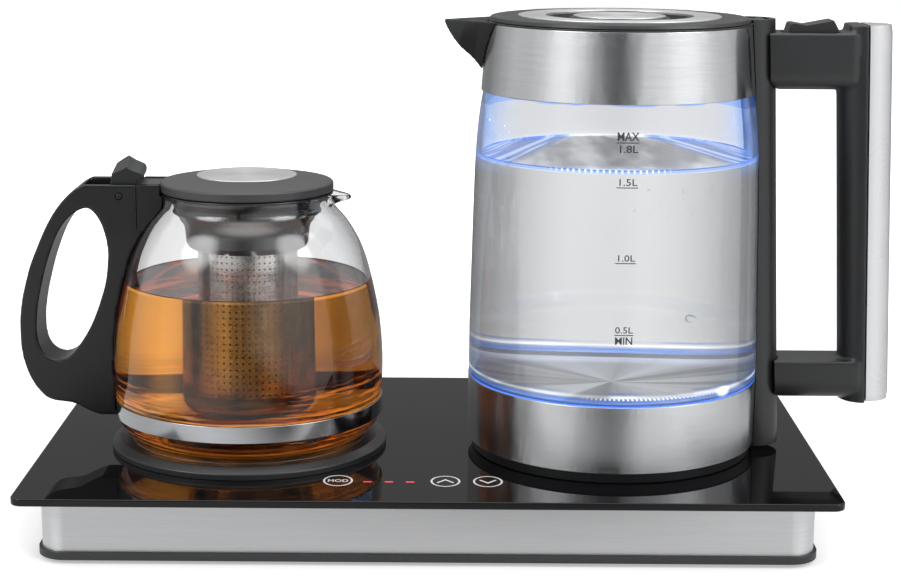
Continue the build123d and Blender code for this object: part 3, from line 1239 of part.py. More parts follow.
def strainer_basket():
    """The thin steel cup that holds the leaves, rounded at the bottom."""
    outer, wall, low = STRAINER_RADIUS, STRAINER_WALL, STRAINER_LOW
    bend = STRAINER_ROUND
    top = strainer_top()
    mid = (outer - bend + bend * sin(radians(45)), 0, low + bend - bend * cos(radians(45)))
    small = bend - wall
    mid_in = (outer - bend + small * sin(radians(45)), 0, low + bend - small * cos(radians(45)))
    sides = [Line((0, 0, low), (outer - bend, 0, low)),
             ThreePointArc((outer - bend, 0, low), mid, (outer, 0, low + bend)),
             Line((outer, 0, low + bend), (outer, 0, top)), Line((outer, 0, top), (outer - wall, 0, top)),
             Line((outer - wall, 0, top), (outer - wall, 0, low + bend)),
             ThreePointArc((outer - wall, 0, low + bend), mid_in, (outer - bend, 0, low + wall)),
             Line((outer - bend, 0, low + wall), (0, 0, low + wall)), Line((0, 0, low + wall), (0, 0, low))]
    return revolve(make_face(sides), Axis.Z) + disc(STRAINER_FOOT_RADIUS, low - STRAINER_FOOT_HEIGHT, low)


def strainer_rim():
    top = strainer_top()
    return ring(STRAINER_RADIUS + STRAINER_RIM_WIDTH, STRAINER_RADIUS - STRAINER_WALL, top, top + STRAINER_RIM_HEIGHT)


def pot_lid():
    """The black lid of the teapot: crowned on top and hollow below, with the arm to its thumb lever."""
    edge, crown, under = POT_LID_EDGE, POT_LID_CROWN, POT_LID_LOW
    sides = [Line((0, 0, under), (POT_LID_RADIUS - POT_LID_ROUND, 0, under)),
             Line((POT_LID_RADIUS - POT_LID_ROUND, 0, under), (POT_LID_RADIUS, 0, under + POT_LID_ROUND)),
             Line((POT_LID_RADIUS, 0, under + POT_LID_ROUND), (POT_LID_RADIUS, 0, edge - POT_LID_ROUND)),
             Line((POT_LID_RADIUS, 0, edge - POT_LID_ROUND), (POT_LID_RADIUS - POT_LID_ROUND, 0, edge)),
             Line((POT_LID_RADIUS - POT_LID_ROUND, 0, edge), (INSERT_RADIUS + 2, 0, crown)),
             Line((INSERT_RADIUS + 2, 0, crown), (0, 0, crown)), Line((0, 0, crown), (0, 0, under))]
    lid = revolve(make_face(sides), Axis.Z)
    lid -= turned([(0, under), (neck_hollow(), under), (neck_hollow(), edge - POT_LID_WALL), (INSERT_RADIUS, crown - 1.5 * POT_LID_WALL), (0, crown - 1.5 * POT_LID_WALL)])
    lid -= disc(INSERT_RADIUS + RUNNING, crown - INSERT_SINK, crown)
    arm_x = (LEVER_RIGHT, -POT_LID_RADIUS + LEVER_NECK_OVERLAP)
    lid += block(arm_x, (-LEVER_NECK_HALF, LEVER_NECK_HALF), (under, edge - POT_LID_ROUND))
    return lid


def neck_hollow():
    return POT_NECK_RADIUS - POT_WALL - 2 * FUNNEL_WALL


def pot_lid_insert():
    low = POT_LID_CROWN - INSERT_SINK
    return disc(INSERT_RADIUS, low, low + INSERT_THICKNESS)


def thumb_lever():
    """The gabled thumb piece over the pin, with a hub that turns in the handle."""
    outline = [(LEVER_LEFT, LEVER_BASE), (LEVER_LEFT, LEVER_EAVE), (LEVER_RIDGE_X, LEVER_RIDGE), (LEVER_RIGHT, LEVER_EAVE),
               (LEVER_RIGHT, LEVER_BASE)]
    gable = side_plate(outline, LEVER_HALF_WIDTH)
    stem = side_plate([(LEVER_PIN_X - LEVER_HUB_RADIUS, LEVER_PIN_Z), (LEVER_PIN_X - LEVER_HUB_RADIUS, LEVER_BASE),
                       (LEVER_RIGHT, LEVER_BASE), (LEVER_RIGHT, POT_LID_LOW), (LEVER_PIN_X + LEVER_HUB_RADIUS, LEVER_PIN_Z)],
                      LEVER_HALF_WIDTH)
    hub = rod_y(LEVER_HUB_RADIUS, LEVER_HALF_WIDTH, LEVER_PIN_X, LEVER_PIN_Z)
    lever = gable + stem + hub
    return lever - rod_y(LEVER_PIN_RADIUS + RUNNING, LEVER_HALF_WIDTH, LEVER_PIN_X, LEVER_PIN_Z)


TRAY_PIECES = (glass_top, steel_skirt, bottom_cover, rubber_feet, upper_frame, cover_screws, control_board,
               power_relay, touch_board, touch_springs, indicator_lights, cord_gland, warming_ring, warming_plate,
               warming_heater, heater_tray, heater_insulation, thermal_cutout, base_connector, connector_contacts)
KETTLE_PIECES = (kettle_socket, kettle_base_cover, kettle_base_screws, base_band, kettle_glass, heating_plate,
                 light_ring, lower_seal, heat_diffuser, heating_element, temperature_probe, steel_collar, kettle_rim,
                 kettle_spout, spout_filter, lid_shell, lid_trim, lid_disc, lid_liner, lid_seal, lid_pin,
                 handle_spine, handle_screws, kettle_handle, grip_cover, lid_button, button_pin, button_spring)
TEAPOT_PIECES = (teapot_glass, pot_band, pot_handle, handle_bracket, lever_pin, infuser_funnel, strainer_basket,
                 strainer_rim, pot_lid, pot_lid_insert, thumb_lever)


def assemble():
    pieces = {make.__name__: make() for make in TRAY_PIECES}
    kettle_place, teapot_place = Pos(KETTLE_X, KETTLE_Y, PLATE_TOP), Pos(TEAPOT_X, TEAPOT_Y, PLATE_TOP)
    pieces.update({make.__name__: kettle_place * make() for make in KETTLE_PIECES})
    pieces.update({make.__name__: teapot_place * make() for make in TEAPOT_PIECES})
    return pieces


def main():
    pieces = assemble()
    boxes = [shape.bounding_box() for shape in pieces.values()]
    centre_x = (min(b.min.X for b in boxes) + max(b.max.X for b in boxes)) / 2
    centre_y = (min(b.min.Y for b in boxes) + max(b.max.Y for b in boxes)) / 2
    lowest = min(b.min.Z for b in boxes)
    os.makedirs("parts", exist_ok=True)
    for name, shape in pieces.items():
        export_step(Pos(-centre_x, -centre_y, -lowest) * shape, f"parts/{name}.step")
    print("centre", round(centre_x, 4), round(centre_y, 4), round(lowest, 4), "nodes", len(pieces))


main()
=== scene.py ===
"""The looks of an automatic tea maker: a powered tray with a glass kettle and a glass infuser teapot.

Sizes are written in millimetres, about the middle of the tray's glass top, the kettle's axis or the teapot's
axis, with height 0 on the glass top, and become metres in the set's own frame when a mesh is made.
"""

from math import cos, pi, radians, sin, tan

import bmesh
import bpy
from mathutils import Matrix, Vector


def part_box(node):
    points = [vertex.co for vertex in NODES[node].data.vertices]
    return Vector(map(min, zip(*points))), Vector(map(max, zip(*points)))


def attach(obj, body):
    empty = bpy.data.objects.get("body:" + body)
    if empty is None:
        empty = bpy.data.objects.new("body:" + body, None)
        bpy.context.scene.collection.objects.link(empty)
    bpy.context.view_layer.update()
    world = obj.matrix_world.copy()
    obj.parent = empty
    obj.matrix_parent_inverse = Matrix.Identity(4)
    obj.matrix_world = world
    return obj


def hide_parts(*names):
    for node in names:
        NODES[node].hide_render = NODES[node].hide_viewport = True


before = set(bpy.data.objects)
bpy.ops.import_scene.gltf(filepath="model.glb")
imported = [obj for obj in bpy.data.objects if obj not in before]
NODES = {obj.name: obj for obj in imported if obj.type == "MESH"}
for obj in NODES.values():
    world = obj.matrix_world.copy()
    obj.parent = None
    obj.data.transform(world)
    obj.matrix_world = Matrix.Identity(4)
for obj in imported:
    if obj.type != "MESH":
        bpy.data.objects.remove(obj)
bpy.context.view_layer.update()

MM = 0.001
ORIGIN = Vector((0.0, 0.0, 0.0))
TRAY = Vector((-13.847, 0.0, 35.0))
KETTLE = Vector((78.353, -17.0, 35.0))
TEAPOT = Vector((-106.047, -17.0, 35.0))

# The outside of each glass, as radius and height
KETTLE_SIDE = ((72.6, 38.5), (72.5, 62.0), (72.0, 85.0), (71.0, 126.0), (70.2, 149.0), (69.2, 163.0),
               (67.9, 174.0), (66.4, 183.0), (65.4, 190.0))
POT_SIDE = ((50.0, 6.0), (56.0, 6.9), (61.5, 9.4), (65.2, 13.4), (66.7, 18.05), (66.9, 24.9), (67.5, 31.95),
            (67.8, 39.95), (67.7, 49.05), (67.0, 59.0), (65.8, 69.0), (63.9, 78.95), (61.8, 88.05),
            (59.3, 97.0), (55.6, 106.0), (50.5, 114.5), (46.0, 119.8), (43.6, 122.95), (43.1, 126.05),
            (43.1, 129.0))
KETTLE_WALL, POT_WALL = 2.8, 2.2
POT_FLOOR, POT_TOP = 6.0, 129.6
WATER_LOW, WATER_HIGH = 36.8, 150.4
TEA_LOW, TEA_HIGH = 7.2, 85.2
STRAINER_RADIUS, STRAINER_WALL, STRAINER_LOW = 25.0, 0.5, 31.6
HOLE_COLUMNS, HOLE_ROWS, HOLE_PITCH, HOLE_RADIUS = 58, 23, 3.05, 0.5


# Trees of nodes

class Number:
    """A number in a tree of nodes, so that its maths reads as plain expressions."""

    def __init__(self, owner, socket):
        self.owner, self.socket = owner, socket

    def __add__(self, other):
        return self.owner.maths("ADD", self, other)

    def __sub__(self, other):
        return self.owner.maths("SUBTRACT", self, other)

    def __rsub__(self, other):
        return self.owner.maths("SUBTRACT", other, self)

    def __mul__(self, other):
        return self.owner.maths("MULTIPLY", self, other)

    def __truediv__(self, other):
        return self.owner.maths("DIVIDE", self, other)

    def __rtruediv__(self, other):
        return self.owner.maths("DIVIDE", other, self)

    def __pow__(self, other):
        return self.owner.maths("POWER", self, other)

    def __abs__(self):
        return self.owner.maths("ABSOLUTE", self)

    __radd__, __rmul__ = __add__, __mul__


class Tree:
    """A tree of nodes, and the ways to add to it."""

    def __init__(self, tree):
        self.tree = tree

    def add(self, kind, settings=None, values=None):
        """A node of a kind, with its settings made first, and then the values or links of its sockets."""
        node = self.tree.nodes.new(kind)
        for key, value in (settings or {}).items():
            if key == "stops":
                self.set_stops(node.color_ramp, value)
            else:
                setattr(node, key, value)
        for key, value in (values or {}).items():
            self.feed(node.inputs[key], value)
        return node

    def feed(self, socket, value):
        """A link or a value for a socket. A colour may leave out its alpha."""
        if isinstance(value, Number):
            value = value.socket
        if isinstance(value, bpy.types.NodeSocket):
            self.tree.links.new(value, socket)
        elif socket.type == "RGBA" and len(value) == 3:
            socket.default_value = (*value, 1.0)
        else:
            socket.default_value = value

    def set_stops(self, ramp, stops):
        """The stops of a colour ramp, each a place with a grey level or a colour."""
        while len(ramp.elements) > 1:
            ramp.elements.remove(ramp.elements[-1])
        for count, (place, level) in enumerate(stops):
            stop = ramp.elements.new(place) if count else ramp.elements[0]
            stop.position = place
            stop.color = (*level, 1.0) if isinstance(level, tuple) else (level, level, level, 1.0)

    def first(self, *about):
        """The first output of a new node."""
        return self.add(*about).outputs[0]

    def number(self, *about):
        """The first output of a new node, to reckon with."""
        return Number(self, self.first(*about))

    def maths(self, operation, *terms):
        """A sum worked out by the tree."""
        return self.number("ShaderNodeMath", {"operation": operation}, dict(enumerate(terms)))

    def vector_maths(self, operation, first, second):
        """A sum of vectors, or a vector made longer or shorter by a number."""
        key = "Scale" if operation == "SCALE" else 1
        return self.first("ShaderNodeVectorMath", {"operation": operation}, {0: first, key: second})

    def vector(self, x, y, z):
        """Three numbers as a vector."""
        return self.first("ShaderNodeCombineXYZ", {}, {0: x, 1: y, 2: z})

    def split(self, vector):
        """The three numbers of a vector."""
        return [Number(self, part) for part in self.add("ShaderNodeSeparateXYZ", {}, {0: vector}).outputs]

    def length(self, x, y):
        """How far two numbers lie from nothing."""
        return self.maths("SQRT", x * x + y * y)


class Finish(Tree):
    """A finish being mixed: the tree of a material, or of the studio's surroundings."""

    def __init__(self, name, block=None):
        self.block = block or bpy.data.materials.new(name)
        self.block.use_nodes = True
        super().__init__(self.block.node_tree)
        self.tree.nodes.clear()

    def where(self, place=ORIGIN):
        """The place on the piece in millimetres, about a place of its own."""
        spot = self.add("ShaderNodeTexCoord").outputs["Object"]
        moved = self.vector_maths("SUBTRACT", spot, tuple(c * MM for c in place))
        return self.vector_maths("SCALE", moved, 1 / MM)

    def clamp(self, value):
        """A value held between nothing and one."""
        return self.number("ShaderNodeClamp", {}, {"Value": value})

    def ramp(self, value, start, end, low=0.0, high=1.0, smooth=True):
        """A value carried from one span to another, smoothly and without going past its ends."""
        kind = {"interpolation_type": "SMOOTHSTEP" if smooth else "LINEAR"}
        values = {"Value": value, "From Min": start, "From Max": end, "To Min": low, "To Max": high}
        return self.number("ShaderNodeMapRange", kind, values)

    def spread(self, noise, low, high, smooth=False):
        """A noise, which mostly keeps to its middle, spread over a span."""
        return self.ramp(noise, 0.3, 0.7, low, high, smooth)

    def band(self, value, low, high, soft):
        """One between two values, and nothing beyond them."""
        return self.ramp(value, low - soft, low + soft) * self.ramp(value, high - soft, high + soft, 1.0, 0.0)

    def blend(self, factor, first, second):
        """A colour between two colours."""
        return self.add("ShaderNodeMix", {"data_type": "RGBA"}, {0: factor, 6: first, 7: second}).outputs[2]

    def layered(self, colour, *layers):
        """A colour with others laid over it, each by a share of its own."""
        for share, over in layers:
            colour = self.blend(share, colour, over)
        return colour

    def bearing(self, x, y):
        """The turn about an axis, from the front."""
        return self.maths("ARCTAN2", x, y * -1.0)

    def noise(self, place, scale=1.0, detail=2.0, roughness=0.5):
        """A cloudy pattern over a place, which may be three numbers."""
        place = self.vector(*place) if isinstance(place, tuple) else place
        values = {"Vector": place, "Scale": scale, "Detail": detail, "Roughness": roughness}
        return self.number("ShaderNodeTexNoise", {}, values)

    def bump(self, height, distance, strength):
        """A surface raised by a height, in millimetres."""
        values = {"Height": height, "Distance": distance * MM, "Strength": strength}
        return self.first("ShaderNodeBump", {}, values)

    def facing(self):
        """Nothing where the surface faces the eye, and one at its outline."""
        return Number(self, self.add("ShaderNodeLayerWeight", {}, {"Blend": 0.5}).outputs["Facing"])

    def ray(self, kind):
        """What kind of ray it is, or how often it has been thrown on."""
        return Number(self, self.add("ShaderNodeLightPath").outputs[kind])

    def principled(self, light=None, strength=1.0, **values):
        """The main shader, with the names of its sockets written out, and the light that it gives off."""
        if light is not None:
            values.update(Emission_Color=light, Emission_Strength=strength)
        named = {key.replace("_", " "): value for key, value in values.items()}
        return self.first("ShaderNodeBsdfPrincipled", {}, named)

    def mix(self, factor, first, second):
        """A look between two looks."""
        return self.first("ShaderNodeMixShader", {}, {0: factor, 1: first, 2: second})

    def done(self, surface, volume=None):
        """The material with its surface, and what fills it."""
        out = self.add("ShaderNodeOutputMaterial", {}, {"Surface": surface})
        if volume:
            self.feed(out.inputs["Volume"], volume)
        return self.block

    def see_through(self, shade, light, bends, tint=(0.9, 0.9, 0.9), volume=None, shine=(1.0, 1.0, 1.0)):
        """A clear body that bends what is seen, and that the lamps shine through in a tint."""
        body = self.principled(light, Base_Color=shade, Roughness=0.0, IOR=bends, Transmission_Weight=1.0,
                               Specular_Tint=shine)
        through = self.first("ShaderNodeBsdfTransparent", {}, {"Color": tint})
        return self.done(self.mix(self.ray("Is Shadow Ray"), body, through), volume)


# Kinds of finish

def brushed(name, colour, roughness, along, place, shine=0.0, drawn=0.0, lit=None):
    """Steel brushed in fine lines: round an axis, in rings about it, or straight along a side.

    Ring-brushed discs may carry painted highlights, in fans that spread from their middle, and a painted glow
    round their edge."""
    f = Finish(name)
    x, y, z = f.split(f.where(place))
    if along == "rings":
        radius = f.length(x, y)
        fine, broad = (radius * 2.6, x * 0.05, y * 0.05), (radius * 0.5, x * 0.02, y * 0.02)
    else:
        fine, broad = (x * 0.07, y * 0.07, z * 2.6), (x * 0.02, y * 0.02, z * 0.35)
    scratches = f.noise(fine, 1.0, 3.0, 0.75)
    cloud = f.noise(broad)
    tone = f.spread(scratches, 0.95, 1.04) * f.spread(cloud, 0.985, 1.015)
    # Painted highlights: fans of lighter and darker base colour that spread from the middle
    if shine:
        painted_fans = f.noise((x / radius, y / radius, 0.37), 1.9, 2.5, 0.62)
        tone = tone * f.ramp(painted_fans, 0.36, 0.66, 1.0 - shine, 1.0 + shine * 0.45)
    rough = f.ramp(scratches, 0.25, 0.75, roughness * 0.93, roughness * 1.09, smooth=False)
    light = None
    # Painted glow: a light ring put into the emission round the edge
    if lit:
        low, high, glow = lit
        light = f.blend(f.ramp(radius, low, high) * f.spread(cloud, 0.8, 1.1, smooth=True), DARK, glow)
    return f.done(f.principled(light, Base_Color=f.vector_maths("SCALE", colour, tone), Metallic=1.0,
                               Roughness=rough, Normal=f.bump(scratches, 0.002, 0.4), Anisotropic=drawn,
                               Anisotropic_Rotation=0.25))


def moulded(name, colour, roughness, grain=0.012, size=2.2, specular=0.5, uneven=0.1, walls=None):
    """Moulded plastic or rubber, with a fine cast grain and a little unevenness in its gloss.

    Its walls that run from front to back may be smoother than its faces, by a share."""
    f = Finish(name)
    spot = f.where()
    fine = f.noise(spot, size, 2.0, 0.6)
    cloud = f.noise(spot, 0.05, 3.0, 0.55)
    tone = f.spread(fine * 0.4 + cloud * 0.6, 1.0 - uneven, 1.0 + uneven)
    rough = f.spread(cloud, roughness * (1.0 - uneven), roughness * (1.0 + uneven))
    if walls:
        normal = f.split(f.add("ShaderNodeTexCoord").outputs["Normal"])
        rough = rough * f.ramp(abs(normal[1]), 0.4, 0.8, walls, 1.0)
    return f.done(f.principled(Base_Color=f.vector_maths("SCALE", colour, tone), Roughness=rough,
                               Normal=f.bump(fine, grain, 0.5), Specular_IOR_Level=specular))


def metal(name, colour, roughness, size=0.6, metallic=1.0, uneven=1.0):
    """Plated or plain metal, or metallic paint, with a faintly uneven surface."""
    f = Finish(name)
    cloud = f.noise(f.where(), size, 3.0, 0.6)
    tone = f.spread(cloud, 1.0 - 0.15 * uneven, 1.0 + 0.1 * uneven, smooth=True)
    rough = f.spread(cloud, roughness * 0.8, roughness * 1.25, smooth=True)
    return f.done(f.principled(Base_Color=f.vector_maths("SCALE", colour, tone), Metallic=metallic,
                               Roughness=rough, Normal=f.bump(cloud, 0.01 * uneven, 0.4)))


def polished_black(name, specular):
    """Black toughened glass: polished, with the faintest unevenness and a trace of dust."""
    f = Finish(name)
    spot = f.where()
    dust = f.ramp(f.noise(spot, 1.6, 3.0, 0.7), 0.72, 0.8)
    rough = f.spread(f.noise(spot, 0.012), 0.018, 0.035) + dust * 0.08
    shade = f.blend(dust * 0.15, (0.006, 0.006, 0.007), (0.05, 0.05, 0.05))
    return f.done(f.principled(Base_Color=shade, Roughness=rough, Specular_IOR_Level=specular))


def lit(name, colour, strength):
    """A lamp's window of clear plastic, brighter in its middle."""
    f = Finish(name)
    bright = tuple(min(1.0, c * 1.3) for c in colour)
    glow = f.blend(f.spread(f.noise(f.where(), 0.9, 1.0), 0.0, 1.0, smooth=True), colour, bright)
    return f.done(f.principled(glow, strength, Base_Color=colour, Roughness=0.3))


def clear(name, tint, edge, ior, glow=None):
    """A clear body with painted shade that darkens it towards its outline; it lets the lamps through, and may
    carry a painted glow.
    """
    f = Finish(name)
    # Painted shade: the tint darkens to the edge colour towards the outline
    shade, light = f.blend(f.clamp(f.facing() ** 1.6), tint, edge), None
    if glow:
        shade, light = glow(f, shade)
    return f.see_through(shade, light, ior)


# Finishes of this set

STEEL = (0.60, 0.61, 0.625)
# Colours of the painted blue glow in the kettle's glass and water, and black for no light
PAINTED_BLUE, PAINTED_PALE_BLUE, DARK = (0.24, 0.42, 0.86), (0.52, 0.68, 0.95), (0.0, 0.0, 0.0)
CLEAR = (0.955, 0.96, 0.965)
GLASS_BENDS, WATER_BENDS, DROPLET_BENDS = 1.47, 1.333, 1.15
# The heating plate's painted glow round its edge: from one radius to another, and its colour
PLATE_PAINTED_GLOW = (46.0, 68.0, (0.42, 0.44, 0.50))

kettle_steel = brushed("kettle_steel", STEEL, 0.24, "round", KETTLE, drawn=0.94)
# The lid's steel, the heating plate and the pot lid's insert carry painted highlights in fans, by their shine
lid_steel = brushed("lid_steel", (0.66, 0.665, 0.675), 0.44, "rings", KETTLE, shine=0.07, drawn=0.3)
plate_steel = brushed("plate_steel", (0.84, 0.85, 0.86), 0.40, "rings", KETTLE, 0.45, 0.6, PLATE_PAINTED_GLOW)
pot_steel = brushed("pot_steel", (0.44, 0.445, 0.46), 0.12, "round", TEAPOT)
insert_steel = brushed("insert_steel", (0.62, 0.625, 0.63), 0.46, "rings", TEAPOT, shine=0.05, drawn=0.2)
skirt_steel = brushed("skirt_steel", (0.72, 0.725, 0.735), 0.34, "straight", TRAY, drawn=0.8)
strainer_steel = metal("strainer_steel", (0.60, 0.58, 0.55), 0.2, size=0.15)
foot_steel = metal("foot_steel", (0.30, 0.28, 0.26), 0.2, size=0.15)
satin_black = moulded("satin_black", (0.017, 0.018, 0.019), 0.36)
lid_black = moulded("lid_black", (0.042, 0.042, 0.044), 0.42)
lever_black = moulded("lever_black", (0.020, 0.021, 0.022), 0.30, specular=0.36)
handle_black = moulded("handle_black", (0.012, 0.0125, 0.013), 0.34, specular=0.36, walls=0.25)
# Painted shadow: near-black, for where the pin's hole lies in shade
gap_dark = moulded("gap_dark", (0.002, 0.002, 0.002), 0.8, specular=0.1)
gloss_black = moulded("gloss_black", (0.008, 0.008, 0.009), 0.15, grain=0.002, specular=0.75)
plinth_black = moulded("plinth_black", (0.030, 0.031, 0.032), 0.5)
rubber_black = moulded("rubber_black", (0.018, 0.018, 0.018), 0.75, grain=0.03)
silver_paint = metal("silver_paint", (0.66, 0.665, 0.68), 0.3, size=0.04, metallic=0.7, uneven=0.15)
zinc = metal("zinc", (0.62, 0.62, 0.60), 0.35)
brass = metal("brass", (0.72, 0.50, 0.22), 0.3)
aluminium = metal("aluminium", (0.70, 0.70, 0.71), 0.4)
heater_grey = metal("heater_grey", (0.22, 0.21, 0.20), 0.5)
board_green = moulded("board_green", (0.015, 0.10, 0.035), 0.4)
relay_blue = moulded("relay_blue", (0.02, 0.06, 0.25), 0.35)
insulation = moulded("insulation", (0.62, 0.60, 0.55), 0.9, grain=0.1, size=0.8)
ceramic = moulded("ceramic", (0.75, 0.74, 0.70), 0.25)
silicone = moulded("silicone", (0.55, 0.56, 0.57), 0.45)
black_glass = polished_black("black_glass", 0.3)
print_white = moulded("print_white", (0.80, 0.81, 0.82), 0.4, uneven=0.02)
print_dark = moulded("print_dark", (0.045, 0.045, 0.05), 0.4)
light_blue = lit("light_blue", (0.10, 0.26, 0.95), 1.0)
light_red = lit("light_red", (0.80, 0.045, 0.07), 0.6)


def kettle_painted_glow(f, shade):
    """Painted blue glow and painted highlights on the kettle's glass: at its foot, its top edge and a little
    on its sides, with painted grey shade above the water.
    """
    spot = f.where(KETTLE)
    x, y, z = f.split(spot)
    turn = f.bearing(x, y)
    streak = f.ramp(f.noise((x * 0.05, y * 0.05, z * 2.2), 1.0, 2.0, 0.6), 0.38, 0.60)
    patch = f.ramp(f.noise((x * 0.05, y * 0.05, z * 0.05), 1.0, 1.0), 0.40, 0.60)
    side = f.ramp(f.facing(), 0.26, 0.74)

    # Painted blue light: the foot, a line above it, and the top under the collar, with paler painted blue on
    # the sides
    foot = f.band(z, 38.0, 41.9, 0.3) * (0.55 + streak * 0.45)
    line = f.band(z, 44.6, 45.1, 0.25) * patch * 0.9
    top = f.ramp(z + side * 5.0 + patch * 0.7, 180.9, 181.6) * 0.9
    glow = f.clamp(foot + line + top)
    painted_pale_glow = side * f.band(z, 146.0, 184.0, 4.0) * (0.55 + patch * 0.45) + side * f.ramp(z, 60.0, 42.0) * 0.35
    painted_pale_glow = f.clamp(painted_pale_glow)

    # Painted highlights: a white line over the foot, a row of beads, a star-shaped glint at the right, and
    # small glints at the upper left
    white = f.band(z, 42.5, 43.6, 0.3) * f.ramp(patch, 0.0, 1.0, 0.35, 0.85)
    painted_dots = f.ramp(f.maths("COSINE", turn * 210.0), 0.1, 0.8) * f.band(z, 41.6, 42.3, 0.2)
    painted_beads = painted_dots * f.ramp(turn, -0.35, 0.05) * f.ramp(turn, 0.85, 1.0, 1.0, 0.0)
    painted_star = f.ramp(f.length(abs(turn - 0.765) * 40.0, z - 41.6), 0.7, 3.2, 1.0, 0.0)
    painted_sparks = f.ramp(f.noise(spot, 0.5, 1.0), 0.71, 0.76) * f.band(z, 160.0, 172.0, 3.0)
    painted_sparkle = f.clamp(painted_beads + painted_star + painted_sparks * f.band(turn, -1.25, -0.95, 0.06))

    # Painted shade: the glass greyer above the water
    above = f.ramp(z, 151.0, 154.0) * 0.55
    shade = f.layered(shade, (above, (0.78, 0.79, 0.82)), (painted_pale_glow, PAINTED_PALE_BLUE), (glow, PAINTED_BLUE))
    light = f.layered(DARK, (painted_pale_glow, (0.06, 0.11, 0.26)), (glow, (0.010, 0.035, 0.14)),
                      (white * (0.4 + streak * 0.6), (0.55, 0.58, 0.66)), (painted_sparkle, (0.9, 0.95, 1.0)))
    return shade, light


def water_look():
    """Still water: clear in the middle, with painted shade greying it towards its sides, painted blue light
    round its rim and painted highlights.
    """
    f = Finish("water_clear")
    x, y, z = f.split(f.where(KETTLE))
    radius, turn, away = f.length(x, y), f.bearing(x, y), abs(x)
    side = f.ramp(z, WATER_HIGH - 1.5, WATER_HIGH - 0.5, 1.0, 0.0) * f.ramp(z, 37.6, 38.4)
    top = (1.0 - side) * f.ramp(z, 100.0, 110.0)
    # Painted shade: greyer towards its sides
    depth = f.clamp(side * 1.95 * (f.facing() ** 0.61))

    # Painted blue light: streaks on the water's top, and a blue edge with a row of painted highlight dots at
    # its front
    out = away + y * 0.32
    streaks = f.noise((out * 0.28, y * 0.008, 2.3), 1.0, 2.5, 0.6)
    rim = f.ramp(out, 36.0, 46.0) * top
    edge = f.band(z, WATER_HIGH - 0.9, WATER_HIGH + 2.0, 0.35) * f.ramp(radius, 66.0, 67.6)
    edge = edge * f.ramp(abs(turn), 2.4, 2.0)
    painted_dots = f.ramp(f.maths("COSINE", turn * 150.0), 0.2, 0.8)
    painted_dots = painted_dots * f.band(z, WATER_HIGH - 0.6, WATER_HIGH + 1.5, 0.2)
    painted_dots = painted_dots * f.ramp(radius, 66.6, 67.2) * f.ramp(abs(turn + 0.12), 0.25, 0.50, 1.0, 0.0)
    shade = f.layered((0.995, 0.998, 1.0), (depth, (0.13, 0.135, 0.145)), (f.clamp(rim + edge), PAINTED_BLUE))

    # Painted highlights: light curls in its sides and light ripples on its top
    curl = f.noise((x * 0.05, y * 0.05, z * 0.35 + away * 0.05), 1.0, 1.5, 0.6)
    painted_curls = f.band(curl, 0.485, 0.50, 0.006) * f.ramp(f.facing(), 0.22, 0.45)
    painted_curls = painted_curls * f.band(z, 84.0, 101.0, 4.0) * side
    ripple = f.ramp(f.noise((x * 0.045, y * 0.012, 1.7), 1.0, 2.0, 0.55), 0.40, 0.64)

    painted_streak_colour = f.blend(f.ramp(streaks, 0.46, 0.60), (0.05, 0.12, 0.40), (0.42, 0.54, 0.82))
    light = f.layered(DARK, (top * (0.26 + ripple * 0.74), (0.42, 0.43, 0.44)), (rim, painted_streak_colour),
                      (edge, (0.05, 0.10, 0.30)), (painted_curls * 0.8, (0.34, 0.36, 0.40)),
                      (painted_dots, (0.60, 0.72, 0.95)))
    return f.see_through(shade, light, WATER_BENDS)


# Painted light and shade across the tea, from the handle's side to the lip's: lighter bands of painted
# highlight beside the strainer, and darker bands of painted shade from the strainer and at the sides
TEA_PAINTED_ACROSS = (
    (0.0, (0.24, 0.18, 0.12)), (0.08, (0.30, 0.24, 0.17)), (0.17, (0.75, 0.67, 0.51)),
    (0.24, (1.0, 0.98, 0.74)), (0.30, (0.95, 0.90, 0.68)), (0.34, (0.42, 0.36, 0.30)),
    (0.41, (0.62, 0.50, 0.38)), (0.505, (0.26, 0.23, 0.20)), (0.56, (0.75, 0.64, 0.50)),
    (0.61, (1.0, 0.86, 0.66)), (0.66, (0.60, 0.51, 0.42)), (0.72, (0.66, 0.56, 0.46)),
    (0.78, (0.22, 0.19, 0.155)), (0.858, (0.10, 0.09, 0.082)), (0.93, (0.21, 0.185, 0.155)),
    (1.0, (0.20, 0.175, 0.14)))
TEA_RADIUS = 67.0


